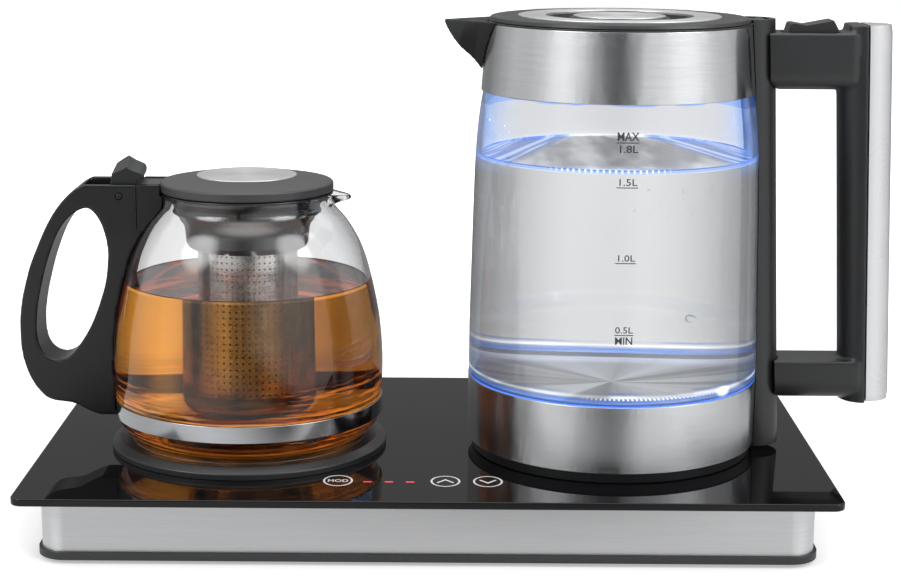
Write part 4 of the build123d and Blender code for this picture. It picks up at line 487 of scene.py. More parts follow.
def tea_look():
    """Black tea: clear, deeper in colour where more of it is looked through, with painted light and shade
    across it and painted glints low down.
    """
    f = Finish("tea_amber")
    x, y, z = f.split(f.where(TEAPOT))
    radius = f.length(x, y)
    swirl = f.noise((x * 0.025, y * 0.025, z * 0.22), 1.0, 3.0, 0.6)
    streak = f.noise((x * 0.035, y * 0.035, z * 0.55), 1.0, 3.0, 0.65)
    ripple = f.noise((radius * 0.17, x * 0.014, y * 0.014), 1.0, 2.5, 0.6)

    across = (x + TEA_RADIUS) / (2 * TEA_RADIUS)
    shade = f.first("ShaderNodeValToRGB", {"stops": TEA_PAINTED_ACROSS}, {"Fac": across})
    # Painted shade: darker and browner low down
    low = f.ramp(z, 38.0, 28.0)
    shade = f.layered(shade, (low * f.ramp(swirl, 0.40, 0.60, 0.55, 1.0), (0.24, 0.13, 0.065)),
                      (f.ramp(z, TEA_HIGH - 1.2, TEA_HIGH - 0.4), (0.95, 0.93, 0.90)))

    # Painted glints: red at the sides, two arcs low down, rings on the bottom, and a painted warm glow by the
    # strainer
    painted_side_glints = f.ramp(abs(x + 4.0), 22.0, 34.0) * f.ramp(streak, 0.50, 0.62)
    curve = z + streak * 3.0
    painted_arcs = f.band(curve, 27.6, 28.4, 0.5) + f.band(curve, 30.4, 31.0, 0.4) * f.ramp(abs(x), 6.0, 30.0)
    rings = f.ramp(ripple, 0.47, 0.60) * f.ramp(radius, 22.0, 34.0) * f.ramp(z, 9.5, 8.0)
    painted_warm_glow = f.band(x, -42.0, -29.0, 5.0) * f.band(z, 34.0, 60.0, 12.0)
    light = f.layered(DARK, (painted_side_glints * f.band(z, 12.0, 42.0, 3.0), (0.40, 0.10, 0.012)),
                      (f.clamp(painted_arcs) * f.ramp(swirl, 0.40, 0.56, 0.25, 1.0), (0.58, 0.26, 0.05)),
                      (rings, (0.55, 0.20, 0.025)), (painted_warm_glow, (0.13, 0.060, 0.006)))
    soaked = f.first("ShaderNodeVolumeAbsorption", {}, {"Color": (0.97, 0.66, 0.0), "Density": 24.0})
    return f.see_through(shade, light, WATER_BENDS, (0.9, 0.55, 0.25), soaked, (0.15, 0.15, 0.15))


kettle_clear = clear("kettle_clear", CLEAR, (0.80, 0.83, 0.88), GLASS_BENDS, glow=kettle_painted_glow)
pot_clear = clear("pot_clear", CLEAR, (0.78, 0.79, 0.80), GLASS_BENDS)
droplet_clear = clear("droplet_clear", (0.98, 0.985, 0.99), (0.55, 0.60, 0.68), DROPLET_BENDS)
water_clear = water_look()
tea_amber = tea_look()


# Making meshes

WEIGHTED = ("WEIGHTED_NORMAL", {"keep_sharp": True, "weight": 80})
BEVEL = {"segments": 3, "limit_method": "ANGLE", "angle_limit": radians(30), "use_clamp_overlap": True,
         "harden_normals": False}
ROUND_STEPS = 192


def from_bmesh(name, form, finish, outward=True):
    """A new piece from a form, which is used up."""
    if outward:
        form.normal_update()
        bmesh.ops.recalc_face_normals(form, faces=form.faces)
    mesh = bpy.data.meshes.new(name)
    form.to_mesh(mesh)
    form.free()
    mesh.materials.clear()
    mesh.materials.append(finish)
    made = bpy.data.objects.new(name, mesh)
    bpy.context.scene.collection.objects.link(made)
    return made


def smooth(piece, sharp=38):
    """Smooth but for the edges that turn by more than an angle."""
    piece.data.shade_smooth()
    piece.data.set_sharp_from_angle(angle=radians(sharp))


def seen_mesh(piece):
    """A plain mesh of what a piece shows."""
    bpy.context.view_layer.update()
    return bpy.data.meshes.new_from_object(piece.evaluated_get(bpy.context.evaluated_depsgraph_get()))


def applied(piece):
    """The piece with its modifiers worked into its mesh."""
    mesh = seen_mesh(piece)
    piece.modifiers.clear()
    old, piece.data = piece.data, mesh
    mesh.name = piece.name
    bpy.data.meshes.remove(old)
    return piece


def settled(piece, *modifiers, sharp=38):
    """The smoothed piece with some modifiers worked in."""
    smooth(piece, sharp)
    for kind, settings in modifiers:
        modifier = piece.modifiers.new(kind.lower(), kind)
        for key, value in settings.items():
            setattr(modifier, key, value)
    return applied(piece)


def solid(name, points, faces, place, finish, outward=True):
    """A mesh from points in millimetres about a place."""
    form = bmesh.new()
    spots = [form.verts.new((place + Vector(p)) * MM) for p in points]
    for face in faces:
        form.faces.new([spots[i] for i in face])
    return from_bmesh(name, form, finish, outward)


def rounded(outline, radius, steps=4):
    """A closed outline with its corners turned into arcs."""
    made, count = [], len(outline)
    slight, share = 0.12, 0.46
    for i, here in enumerate(outline):
        here = Vector(here)
        back, on = Vector(outline[i - 1]) - here, Vector(outline[(i + 1) % count]) - here
        turn = pi - back.angle(on)
        if turn < slight:
            made.append(tuple(here))
            continue
        reach = min(radius * tan(turn / 2), share * back.length, share * on.length)
        start, end = here + back.normalized() * reach, here + on.normalized() * reach
        for step in range(steps + 1):
            t = step / steps
            made.append(tuple((1 - t) ** 2 * start + 2 * t * (1 - t) * here + t * t * end))
    return made


def flowing(points, parts):
    """A smooth line through points."""
    points = [Vector(p) for p in points]
    made = []
    for i in range(len(points) - 1):
        before, start, end = points[max(i - 1, 0)], points[i], points[i + 1]
        after = points[min(i + 2, len(points) - 1)]
        for part in range(parts):
            t = part / parts
            bend = 2 * before - 5 * start + 4 * end - after
            twist = 3 * start - before - 3 * end + after
            made.append(tuple(0.5 * (2 * start + (end - before) * t + bend * t * t + twist * t ** 3)))
    return made + [tuple(points[-1])]


def moved_in(line, wall):
    """A line of radius and height moved in by a wall."""
    made = []
    for i, here in enumerate(line):
        run = Vector(line[min(i + 1, len(line) - 1)]) - Vector(line[max(i - 1, 0)])
        run.normalize()
        made.append((here[0] - wall * run.y, here[1] + wall * run.x))
    return made


def turned_form(outline, place=ORIGIN, loop=False, steps=ROUND_STEPS, reshape=None):
    """A form turned about an axis from points of radius and height."""
    form = bmesh.new()
    rings = []
    for radius, height in outline:
        if radius < 1e-6:
            rings.append([form.verts.new((place + Vector((0, 0, height))) * MM)])
            continue
        ring = []
        for step in range(steps):
            angle = 2 * pi * step / steps
            spot = Vector((radius * cos(angle), radius * sin(angle), height))
            if reshape:
                spot = reshape(spot, angle)
            ring.append(form.verts.new((place + spot) * MM))
        rings.append(ring)
    pairs = list(zip(rings, rings[1:]))
    if loop:
        pairs.append((rings[-1], rings[0]))
    for low, high in pairs:
        if len(low) == 1 and len(high) == 1:
            continue
        for step in range(steps):
            after = (step + 1) % steps
            if len(low) == 1:
                form.faces.new((low[0], high[after], high[step]))
            elif len(high) == 1:
                form.faces.new((low[step], low[after], high[0]))
            else:
                form.faces.new((low[step], low[after], high[after], high[step]))
    return form


def turned(name, outline, place, finish, loop=False, steps=ROUND_STEPS, sharp=38, reshape=None):
    """A piece turned about an axis."""
    made = from_bmesh(name, turned_form(outline, place, loop, steps, reshape), finish)
    return settled(made, WEIGHTED, sharp=sharp)


def merged(node):
    """A copy of a CAD node's mesh with its loose triangles joined up."""
    form = bmesh.new()
    form.from_mesh(NODES[node].data)
    bmesh.ops.remove_doubles(form, verts=form.verts, dist=2e-6)
    return form


def eased(node, finish, width):
    """A CAD node with its edges eased to a width."""
    form = merged(node)
    bmesh.ops.dissolve_limit(form, angle_limit=radians(0.6), verts=form.verts, edges=form.edges)
    made = from_bmesh(node + "_finished", form, finish, outward=False)
    settled(made, ("BEVEL", {"width": width * MM, **BEVEL}), WEIGHTED, sharp=30)
    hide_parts(node)
    return made


def cast(node, finish, voxel, rounds, trim=None):
    """A CAD node as a moulding, its edges rounded all over, and cut off at a plane where one is given."""
    made = from_bmesh(node + "_finished", merged(node), finish, outward=False)
    settled(made, ("REMESH", {"mode": "VOXEL", "voxel_size": voxel * MM, "use_smooth_shade": True}),
            ("SMOOTH", {"factor": 0.5, "iterations": rounds}), sharp=180)
    if trim:
        place, away = trim
        form = bmesh.new()
        form.from_mesh(made.data)
        cut = bmesh.ops.bisect_plane(form, geom=form.verts[:] + form.edges[:] + form.faces[:],
                                     plane_co=place * MM, plane_no=away, clear_outer=True)
        edges = [each for each in cut["geom_cut"] if isinstance(each, bmesh.types.BMEdge)]
        bmesh.ops.holes_fill(form, edges=edges)
        form.to_mesh(made.data)
        form.free()
        smooth(made, 60)
    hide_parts(node)
    return made


def joined(first, second):
    """Two pieces as one."""
    form = bmesh.new()
    form.from_mesh(first.data)
    form.from_mesh(second.data)
    form.to_mesh(first.data)
    form.free()
    bpy.data.objects.remove(second)
    return first


def ride(body, *pieces, slot=None):
    """Pieces that move with a body. The slot is not used."""
    for each in pieces:
        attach(each, body)


def block(low, high, place):
    """A plain block, for cutting with."""
    corners = [(x, y, z) for x in (low[0], high[0]) for y in (low[1], high[1]) for z in (low[2], high[2])]
    faces = [(0, 1, 3, 2), (4, 6, 7, 5), (0, 4, 5, 1), (2, 3, 7, 6), (0, 2, 6, 4), (1, 5, 7, 3)]
    return solid("cutter", corners, faces, place, gloss_black)


def ride_eased(body, *rows):
    """Eased nodes that move with a body. Each row says the node, its finish, the ease's width and the slot."""
    for node, finish, width, slot in rows:
        ride(body, eased(node, finish, width), slot=slot)


# The tray

ride_eased("base",
           ("glass_top", black_glass, 0.6, "black_glass"),
           ("steel_skirt", skirt_steel, 0.25, "brushed_steel"),
           ("bottom_cover", plinth_black, 0.5, "black_plastic"),
           ("rubber_feet", rubber_black, 0.6, "rubber"),
           ("warming_ring", satin_black, 0.35, "satin_black"),
           ("warming_plate", heater_grey, 0.3, "heater_grey"),
           ("cord_gland", rubber_black, 0.4, "rubber"),
           ("base_connector", satin_black, 0.4, "black_plastic"))


# The kettle

# The plane on the outside of the spine where the handle's arms are cut off
SPINE_OUTSIDE = (KETTLE + Vector((72.0, 0.0, 217.5)), Vector((-191.5, 0.0, -10.1)).normalized())
KETTLE_LINE = flowing(KETTLE_SIDE, 6)


def kettle_spout():
    """The spout, with its underside drawn out into a full curve."""
    top, height = 216.3, 25.3
    collar, blend_over, half_wide, drawn_out = 71.0, 5.0, 24.0, 2.3
    spout = cast("kettle_spout", satin_black, 0.5, 6)
    for v in spout.data.vertices:
        x, y, z = v.co / MM - KETTLE
        down = min(1.0, max(0.0, (top - z) / height))
        out = min(1.0, max(0.0, ((x * x + y * y) ** 0.5 - collar) / blend_over))
        v.co.x -= drawn_out * sin(pi * down ** 0.8) * out * max(0.0, 1.0 - (y / half_wide) ** 2) * MM
    ride("kettle", spout, slot="satin_black")


def grip_cover():
    """The grip's silver cover: half an ellipse in plan, from its seam to its outside."""
    foot, tall, lean, half_wide, steps = 26.2, 188.8, 6.9, 12.5, 32
    form = bmesh.new()
    rows = []
    for share in (0.0, 0.02, 0.25, 0.5, 0.75, 0.98, 1.0):
        seam = 127.8 - lean * share + 0.25
        outside = 141.2 - lean * share
        inset = 0.5 if share in (0.0, 1.0) else 0.0
        row = []
        for step in range(steps + 1):
            angle = -pi / 2 + pi * step / steps
            x = seam + (outside - inset - seam) * cos(angle)
            spot = Vector((x, (half_wide - inset) * sin(angle), foot + tall * share))
            row.append(form.verts.new((KETTLE + spot) * MM))
        rows.append(row)
    for low, high in zip(rows, rows[1:]):
        for i in range(steps + 1):
            after = (i + 1) % (steps + 1)
            form.faces.new((low[i], low[after], high[after], high[i]))
    form.faces.new(rows[0][::-1])
    form.faces.new(rows[-1])
    cover = settled(from_bmesh("grip_cover_finished", form, silver_paint), WEIGHTED)
    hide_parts("grip_cover")
    ride("kettle", cover, slot="silver_paint")


def lid_button():
    """The rocker on the handle, drawn in a little so that it works free of its pocket."""
    button = cast("lid_button", satin_black, 0.5, 4)
    low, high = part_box("lid_button")
    middle = (Vector(low) + Vector(high)) / 2
    for v in button.data.vertices:
        v.co.x = middle.x + (v.co.x - middle.x) * 0.98
        v.co.y = middle.y + (v.co.y - middle.y) * 0.97
    ride("button", button, slot="satin_black")


def wetted(edge, reach, high):
    """The top of a liquid where it climbs its glass, from an edge inwards."""
    climb = zip(reach, (0.9, 0.35, 0.08, 0.0))
    return [(edge - inward, high + up) for inward, up in climb] + [(0.0, high)]


def kettle_body():
    """The kettle's glass, and the water in it."""
    inside = moved_in(KETTLE_LINE, KETTLE_WALL)
    glass = turned("kettle_glass_body", KETTLE_LINE + inside[::-1], KETTLE, kettle_clear, loop=True)
    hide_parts("kettle_glass")
    ride("kettle", glass, slot="clear_glass")
    side = [(r, h) for r, h in moved_in(KETTLE_LINE, 2.0) if h < WATER_HIGH + 1.2]
    side[0] = (side[0][0], 38.9)
    foot = [(0.0, WATER_LOW), (69.6, WATER_LOW), (69.9, 38.6)]
    top = wetted(side[-1][0], (0.15, 0.8, 2.0, 4.0), WATER_HIGH)
    ride("kettle", turned("kettle_water", foot + side + top, KETTLE, water_clear, sharp=60))


ride_eased("kettle",
           ("kettle_base_cover", satin_black, 0.4, "black_plastic"),
           ("base_band", kettle_steel, 0.25, "brushed_steel"),
           ("heating_plate", plate_steel, 0.3, "brushed_steel"),
           ("steel_collar", kettle_steel, 0.3, "brushed_steel"),
           ("kettle_rim", satin_black, 0.4, "satin_black"))
kettle_spout()
ride_eased("kettle", ("handle_spine", satin_black, 1.0, "satin_black"))
ride("kettle", cast("kettle_handle", satin_black, 0.7, 18, trim=SPINE_OUTSIDE), slot="satin_black")
grip_cover()
lid_button()
ride_eased("kettle_lid",
           ("lid_shell", satin_black, 0.4, "satin_black"),
           ("lid_trim", lid_steel, 0.35, "brushed_steel"),
           ("lid_disc", lid_steel, 0.3, "brushed_steel"),
           ("lid_liner", satin_black, 0.4, "black_plastic"))
kettle_body()


# The teapot

def poured(spot, angle):
    """The neck's lip, drawn out towards the front of the spout."""
    start, full, reach, drop, width = 123.0, 5.0, 9.0, 1.2, radians(19.0)
    away = (angle + pi) % (2 * pi) - pi
    if spot.z <= start - 3.0 or abs(away) >= width:
        return spot
    share = cos(away / width * pi / 2) ** 2
    lift = min(1.0, max(0.0, (spot.z - start) / full))
    lift = lift * lift * (3 - 2 * lift)
    out = reach * share * lift * cos(away)
    return Vector((spot.x + out, spot.y * (1 - 0.1 * share * lift), spot.z - drop * share * lift))


def pot_body():
    """The teapot's glass, and the tea in it, whose bottom is faintly rippled."""
    outside = [p for p in flowing([(0.0, POT_FLOOR), (30.0, POT_FLOOR)] + list(POT_SIDE), 5) if p[0] > 0.5]
    inside = [p for p in moved_in(outside, POT_WALL) if p[0] > 0.4]
    loop = [(0.0, POT_FLOOR)] + outside + [(42.6, POT_TOP), (41.6, POT_TOP)] + inside[::-1]
    loop.append((0.0, POT_FLOOR + POT_WALL))
    glass = turned("teapot_glass_body", loop, TEAPOT, pot_clear, steps=224, reshape=poured)
    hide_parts("teapot_glass")
    ride("teapot", glass, slot="clear_glass")
    side = [(r, h) for r, h in moved_in(outside, 1.2) if h < TEA_HIGH + 1.0 and (r > 50 or h > 8.0)]
    radii = [step * 0.8 for step in range(2, 62)]
    rings = [(r, TEA_LOW + 0.16 * sin(r * 0.75) * sin(r * 0.21 + 0.6)) for r in radii]
    top = wetted(side[-1][0], (0.1, 0.7, 1.8, 3.6), TEA_HIGH)
    ride("teapot", turned("teapot_tea", [(0.0, TEA_LOW)] + rings + side + top, TEAPOT, tea_amber, sharp=60))


PIN_REACH = 15.5
# Outlines of the painted shadow disc in the pin's hole, and of the pin's dome
PIN_HOLE_SHADOW = ((0.0, 0.03), (1.95, 0.03), (2.15, -0.3), (0.0, -0.3))
PIN_DOME = ((0.0, 0.22), (0.8, 0.19), (1.3, 0.08), (1.5, -0.3), (0.0, -0.3))


def pin_ends():
    """The two ends of the lid's pin, each on a near-black disc of painted shadow where its hole in the
    handle's side is.
    """
    low, high = (Vector(corner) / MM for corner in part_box("lever_pin"))
    middle = (low + high) / 2
    for name, side in (("pin_end_front", -1), ("pin_end_back", 1)):
        for label, outline, finish in ((name, PIN_HOLE_SHADOW, gap_dark), (name + "_dome", PIN_DOME, handle_black)):
            form = turned_form(outline, steps=40)
            for v in form.verts:
                x, y, z = v.co / MM
                v.co = Vector((middle.x + x, TEAPOT.y + side * (PIN_REACH + z), middle.z + y)) * MM
            piece = from_bmesh(label, form, finish)
            smooth(piece, 50)
            ride("teapot", piece, slot="satin_black")


def thumb_lever():
    """The lid's thumb lever: a gabled cap whose ridge climbs to the back, on the CAD's hinge and neck."""
    cap_foot, half_deep, blend_over, front = 135.6, 12.0, 8.0, -57.5
    lever = cast("thumb_lever", lever_black, 0.4, 3)
    for v in lever.data.vertices:
        x, y, z = v.co / MM - TEAPOT
        up = z - cap_foot
        if up > 0.0:
            back = (y + half_deep) / (2 * half_deep)
            lean = min(1.0, up / blend_over)
            v.co.z += (-1.9 + 2.6 * back) * lean * MM
            v.co.x += (1.6 - 3.4 * back) * lean * 0.6 * MM
            if x > front:
                v.co.x += 1.9 * sin(pi * min(1.0, up / 7.5)) * MM
    ride("teapot_lid", lever, slot="satin_black")


FUNNEL = ((40.6, 129.0), (40.6, 127.2), (37.6, 125.6), (36.6, 123.8), (36.4, 122.2), (37.1, 120.9),
          (36.9, 119.4), (34.4, 116.9), (31.9, 113.6), (31.0, 111.0), (30.7, 108.0), (30.5, 104.6),
          (29.6, 102.6), (27.8, 101.6), (25.3, 101.4), (25.3, 103.4), (27.6, 103.6), (28.9, 105.0),
          (29.2, 108.0), (29.6, 112.2), (32.4, 116.8), (34.9, 121.5), (35.6, 124.6), (36.6, 127.0),
          (38.9, 129.4), (38.9, 130.0), (43.1, 130.0), (43.1, 129.0))
FUNNEL_SLOTS = (((-8.6, -34.0, 100.0), (-6.4, -24.0, 104.4)), ((4.6, -34.0, 100.0), (7.4, -24.0, 104.4)),
                ((-1.2, -40.0, 117.5), (0.6, -34.4, 125.0)))


def funnel():
    """The infuser's black funnel, with two slots beside its latch and one above it."""
    body = turned("infuser_funnel_finished", rounded(FUNNEL, 0.8), TEAPOT, gloss_black, loop=True)
    for low, high in FUNNEL_SLOTS:
        cutter = block(low, high, TEAPOT)
        settled(body, ("BOOLEAN", {"operation": "DIFFERENCE", "object": cutter, "solver": "EXACT"}))
        bpy.data.objects.remove(cutter)
    smooth(body)
    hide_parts("infuser_funnel")
    ride("teapot", body, slot="gloss_black")


pot_body()
ride_eased("teapot", ("pot_band", pot_steel, 0.2, "brushed_steel"))
ride("teapot", cast("pot_handle", handle_black, 0.7, 8), slot="satin_black")
ride_eased("teapot", ("handle_bracket", handle_black, 0.6, "satin_black"))
pin_ends()
thumb_lever()
funnel()
ride_eased("teapot_lid",
           ("pot_lid", lid_black, 0.5, "satin_black"),
           ("pot_lid_insert", insert_steel, 0.35, "brushed_steel"))


# Trees of repeated shapes

def pattern(name, **inputs):
    """A tree for what repeats, with named inputs, and what each of them gives."""
    tree = bpy.data.node_groups.new(name, "GeometryNodeTree")
    for label, kind in inputs.items():
        label = label.replace("_", " ")
        tree.interface.new_socket(label, in_out="INPUT", socket_type="NodeSocket" + kind)
    tree.interface.new_socket("Whole", in_out="OUTPUT", socket_type="NodeSocketGeometry")
    t = Tree(tree)
    return t, {socket.name: Number(t, socket) for socket in t.add("NodeGroupInput").outputs if socket.name}


def about_centre(t, angle, height, given):
    """A place at the given radius from the given centre."""
    x, y = t.maths("COSINE", angle) * given["Radius"], t.maths("SINE", angle) * given["Radius"]
    return t.vector_maths("ADD", t.vector(x, y, height), given["Centre"])


def dressed(t, whole, given):
    """The tree's end: everything in the given finish."""
    values = {"Geometry": whole, "Material": given["Finish"]}
    t.add("NodeGroupOutput", {}, {0: t.first("GeometryNodeSetMaterial", {}, values)})
    return t.tree


def sheet_tree():
    """A tree that lays a cell out in columns and rows, and bends the sheet into a tube."""
    t, given = pattern("perforated_tube", Cell="Geometry", Columns="Int", Rows="Int", Column_pitch="Float",
                       Row_pitch="Float", Radius="Float", Low="Float", Centre="Vector", Finish="Material")
    width = given["Columns"] * given["Column pitch"]
    up = (given["Rows"] - 1.0) * given["Row pitch"]
    sizes = {"Size X": width - given["Column pitch"], "Size Y": up, "Vertices X": given["Columns"],
             "Vertices Y": given["Rows"]}
    grid = t.first("GeometryNodeMeshGrid", {}, sizes)
    cells = t.first("GeometryNodeInstanceOnPoints", {}, {"Points": grid, "Instance": given["Cell"]})
    sheet = t.first("GeometryNodeRealizeInstances", {}, {0: cells})
    x, y = t.split(t.first("GeometryNodeInputPosition"))[:2]
    placed = about_centre(t, x / width * (2 * pi), y + up * 0.5 + given["Low"], given)
    tube = t.first("GeometryNodeSetPosition", {}, {"Geometry": sheet, "Position": placed})
    whole = t.first("GeometryNodeMergeByDistance", {}, {"Geometry": tube, "Distance": 0.00002})
    return dressed(t, whole, given)


def scatter_tree():
    """A tree that scatters a drop over the inside of a round wall."""
    t, given = pattern("scattered_drops", Drop="Geometry", Count="Int", Seed="Int", Low="Float", High="Float",
                       Small="Float", Large="Float", Start="Float", End="Float", Radius="Float",
                       Centre="Vector", Finish="Material")

    def chance(low, high, seed):
        """A number by chance between two others."""
        values = {2: low, 3: high, "Seed": given["Seed"] + seed}
        return Number(t, t.add("FunctionNodeRandomValue", {"data_type": "FLOAT"}, values).outputs[1])

    angle = chance(given["Start"], given["End"], 1)
    height = chance(given["Low"], given["High"], 2)
    size = chance(0.35, 1.0, 3) * chance(0.4, 1.0, 4)
    scale = given["Small"] + size * (given["Large"] - given["Small"])
    values = {"Count": given["Count"], "Position": about_centre(t, angle, height, given)}
    points = t.first("GeometryNodePoints", {}, values)
    values = {"Points": points, "Instance": given["Drop"], "Scale": scale}
    drops = t.first("GeometryNodeInstanceOnPoints", {}, values)
    return dressed(t, t.first("GeometryNodeRealizeInstances", {}, {0: drops}), given)


def grown(name, form, tree, finish, **inputs):
    """What a tree makes from a small mesh, as a plain mesh."""
    seed = from_bmesh(name, form, finish, outward=False)
    modifier = seed.modifiers.new("tree", "NODES")
    modifier.node_group = tree
    named = {item.name: item.identifier for item in tree.interface.items_tree if item.in_out == "INPUT"}
    for key, value in {**inputs, "Finish": finish}.items():
        modifier[named[key.replace("_", " ")]] = value
    return applied(seed)


# The strainer

def perforated():
    """The strainer's tube, pierced all over."""
    column = 2 * pi * (STRAINER_RADIUS - STRAINER_WALL / 2) / HOLE_COLUMNS
    half_wide, half_tall = column / 2, HOLE_PITCH / 2
    corners = [(-half_wide, -half_tall), (0, -half_tall), (half_wide, -half_tall), (half_wide, 0),
               (half_wide, half_tall), (0, half_tall), (-half_wide, half_tall), (-half_wide, 0)]
    bearings = [radians(225 + 45 * i) for i in range(8)]
    hole = [(HOLE_RADIUS * cos(bearing), HOLE_RADIUS * sin(bearing)) for bearing in bearings]
    cell = bmesh.new()
    outer, inner = ([cell.verts.new((x * MM, y * MM, 0)) for x, y in ring] for ring in (corners, hole))
    for i in range(8):
        after = (i + 1) % 8
        cell.faces.new((outer[i], outer[after], inner[after], inner[i]))
    tube = grown("strainer_tube", cell, sheet_tree(), strainer_steel, Columns=HOLE_COLUMNS, Rows=HOLE_ROWS,
                 Column_pitch=column * MM, Row_pitch=HOLE_PITCH * MM,
                 Radius=(STRAINER_RADIUS - STRAINER_WALL) * MM, Low=(STRAINER_LOW + half_tall) * MM,
                 Centre=tuple(TEAPOT * MM))
    settled(tube, ("SOLIDIFY", {"thickness": STRAINER_WALL * MM, "offset": 1.0}))
    smooth(tube, 40)
    return tube


def strainer():
    """The strainer: its pierced tube between a plain ring and a plain foot."""
    tube = perforated()
    low, high, top = STRAINER_LOW, STRAINER_LOW + HOLE_ROWS * HOLE_PITCH, 104.0
    outer, inner = STRAINER_RADIUS, STRAINER_RADIUS - STRAINER_WALL
    outline = [(outer, low), (outer, 28.5), (24.3, 25.2), (22.2, 22.4), (19.0, 20.9), (16.6, 20.5),
               (12.5, 20.5), (12.3, 19.3), (0.0, 19.3), (0.0, 19.8), (11.8, 19.8), (12.0, 21.0),
               (16.6, 21.0), (18.8, 21.4), (21.8, 22.8), (23.8, 25.4), (inner, 28.5), (inner, low)]
    foot = turned("strainer_foot", outline, TEAPOT, foot_steel, loop=True, sharp=50)
    edges = [(outer, high), (outer, top), (inner, top), (inner, high)]
    ring = turned("strainer_ring", edges, TEAPOT, strainer_steel, loop=True, sharp=50)
    whole = joined(tube, ring)
    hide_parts("strainer_basket")
    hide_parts("strainer_basket")
    ride("strainer", whole, foot, slot="fine_mesh")


strainer()
ride_eased("strainer", ("strainer_rim", gloss_black, 0.3, None))


# What is printed

def words(text, high, wide, bold):
    """Printed words as a flat mesh in millimetres about their own middle, as high and wide as given."""
    curve = bpy.data.curves.new("words", "FONT")
    curve.body, curve.size, curve.align_x, curve.resolution_u, curve.offset = text, 10.0, "CENTER", 3, bold
    made = bpy.data.objects.new("words", curve)
    bpy.context.scene.collection.objects.link(made)
    mesh = seen_mesh(made)
    bpy.data.objects.remove(made)
    across = [v.co.x for v in mesh.vertices]
    along = wide / (max(across) - min(across))
    up = high / max(v.co.y for v in mesh.vertices)
    for v in mesh.vertices:
        v.co = (v.co.x * along, v.co.y * up, 0.0)
    return mesh


def bar(x, y):
    """A flat bar's corners, from half of its width and height."""
    return [(-x, -y), (x, -y), (x, y), (-x, y)]


def stroke(points, wide, closed=False):
    """A line of an even width as four-cornered pieces."""
    points = [Vector(p) for p in points]
    count, sides = len(points), []
    for i, here in enumerate(points):
        back = points[i - 1] if closed or i else None
        on = points[(i + 1) % count] if closed or i < count - 1 else None
        run = ((on or here) - (back or here)).normalized()
        normal = Vector((-run.y, run.x))
        if back is not None and on is not None:
            ahead = on - here
            normal = normal / max(0.5, normal.dot(Vector((-ahead.y, ahead.x)).normalized()))
        sides.append((here + normal * wide / 2, here - normal * wide / 2))
    pieces = []
    for i in range(count if closed else count - 1):
        (a, b), (c, d) = sides[i], sides[(i + 1) % count]
        pieces.append([tuple(b), tuple(d), tuple(c), tuple(a)])
    return pieces


def printed(name, prints, finish, onto, fine=None):
    """Flat prints laid on a surface: each has a mesh or a polygon, and a place."""
    form = bmesh.new()
    for shape, (x, y) in prints:
        start = len(form.verts)
        if isinstance(shape, bpy.types.Mesh):
            form.from_mesh(shape)
        else:
            form.faces.new([form.verts.new((px, py, 0.0)) for px, py in shape])
        form.verts.ensure_lookup_table()
        for v in form.verts[start:]:
            v.co += Vector((x, y, 0.0))
    bmesh.ops.triangulate(form, faces=form.faces)
    if fine:
        bmesh.ops.subdivide_edges(form, edges=[e for e in form.edges if e.calc_length() > fine], cuts=3)
    for v in form.verts:
        v.co = onto(v.co.x, v.co.y) * MM
    form.normal_update()
    return from_bmesh(name, form, finish, outward=False)


def on_plate(x, y):
    """A place on the tray's top, from its middle."""
    return TRAY + Vector((x, y, 0.04))


def on_kettle(x, z):
    """A place on the front of the kettle's glass, at a distance round it and a height."""
    for (r1, h1), (r2, h2) in zip(KETTLE_LINE, KETTLE_LINE[1:]):
        if h1 <= z <= h2:
            radius = r1 + (r2 - r1) * (z - h1) / (h2 - h1) + 0.05
            break
    angle = x / radius - pi / 2
    return KETTLE + Vector((radius * cos(angle), radius * sin(angle), z))


# Touch keys: middle of the tray to the key, and which way its arrow points
KEYS = ((-43.5, None), (8.1, 1), (28.5, -1))
KEYS_FRONT, KEY_WIDE, KEY_DEEP, KEY_LINE, ARROW_LINE = -84.8, 6.7, 8.2, 0.95, 1.15
LIGHTS = (-29.3, -19.0, -8.8)
# Litre marks: words, height, width, boldness, place; and the bars under some of them: width, place
MARKS = (("MAX", 3.9, 10.2, 0.16, 165.2), ("1.8L", 3.4, 8.6, 0.16, 159.7), ("1.5L", 3.1, 8.4, 0.07, 144.4),
         ("1.0L", 3.0, 8.0, 0.07, 108.8), ("0.5L", 3.0, 8.4, 0.07, 74.5), ("MIN", 3.5, 8.2, 0.16, 69.1))
MARK_BARS = ((10.4, 164.2), (10.0, 143.4), (9.6, 107.8), (9.0, 73.5))
MARKS_MIDDLE = -0.6


def touch_marks():
    """The three touch keys, and the red lights between them."""
    white = []
    steps = 72
    turns = [2 * pi * i / steps for i in range(steps)]
    ring = stroke([(KEY_WIDE * cos(turn), KEY_DEEP * sin(turn)) for turn in turns], KEY_LINE, closed=True)
    for place, way in KEYS:
        white += [(piece, (place, KEYS_FRONT)) for piece in ring]
        if way:
            arrow = [(-3.9, -2.4 * way), (0.0, 2.4 * way), (3.9, -2.4 * way)]
            white += [(piece, (place, KEYS_FRONT)) for piece in stroke(arrow, ARROW_LINE)]
        else:
            white.append((words("MOD", 4.2, 9.8, 0.16), (place, -86.9)))
    ride("base", printed("touch_marks", white, print_white, on_plate))
    red = [(bar(2.0, 0.85), (place, -86.4)) for place in LIGHTS]
    ride("base", printed("touch_lights", red, light_red, on_plate))


def volume_marks():
    """The litre marks on the front of the kettle."""
    dark = [(words(text, high, wide, bold), (MARKS_MIDDLE, z)) for text, high, wide, bold, z in MARKS]
    dark += [(bar(wide / 2, 0.22), (MARKS_MIDDLE, z)) for wide, z in MARK_BARS]
    ride("kettle", printed("volume_marks", dark, print_dark, on_kettle, fine=2.5))


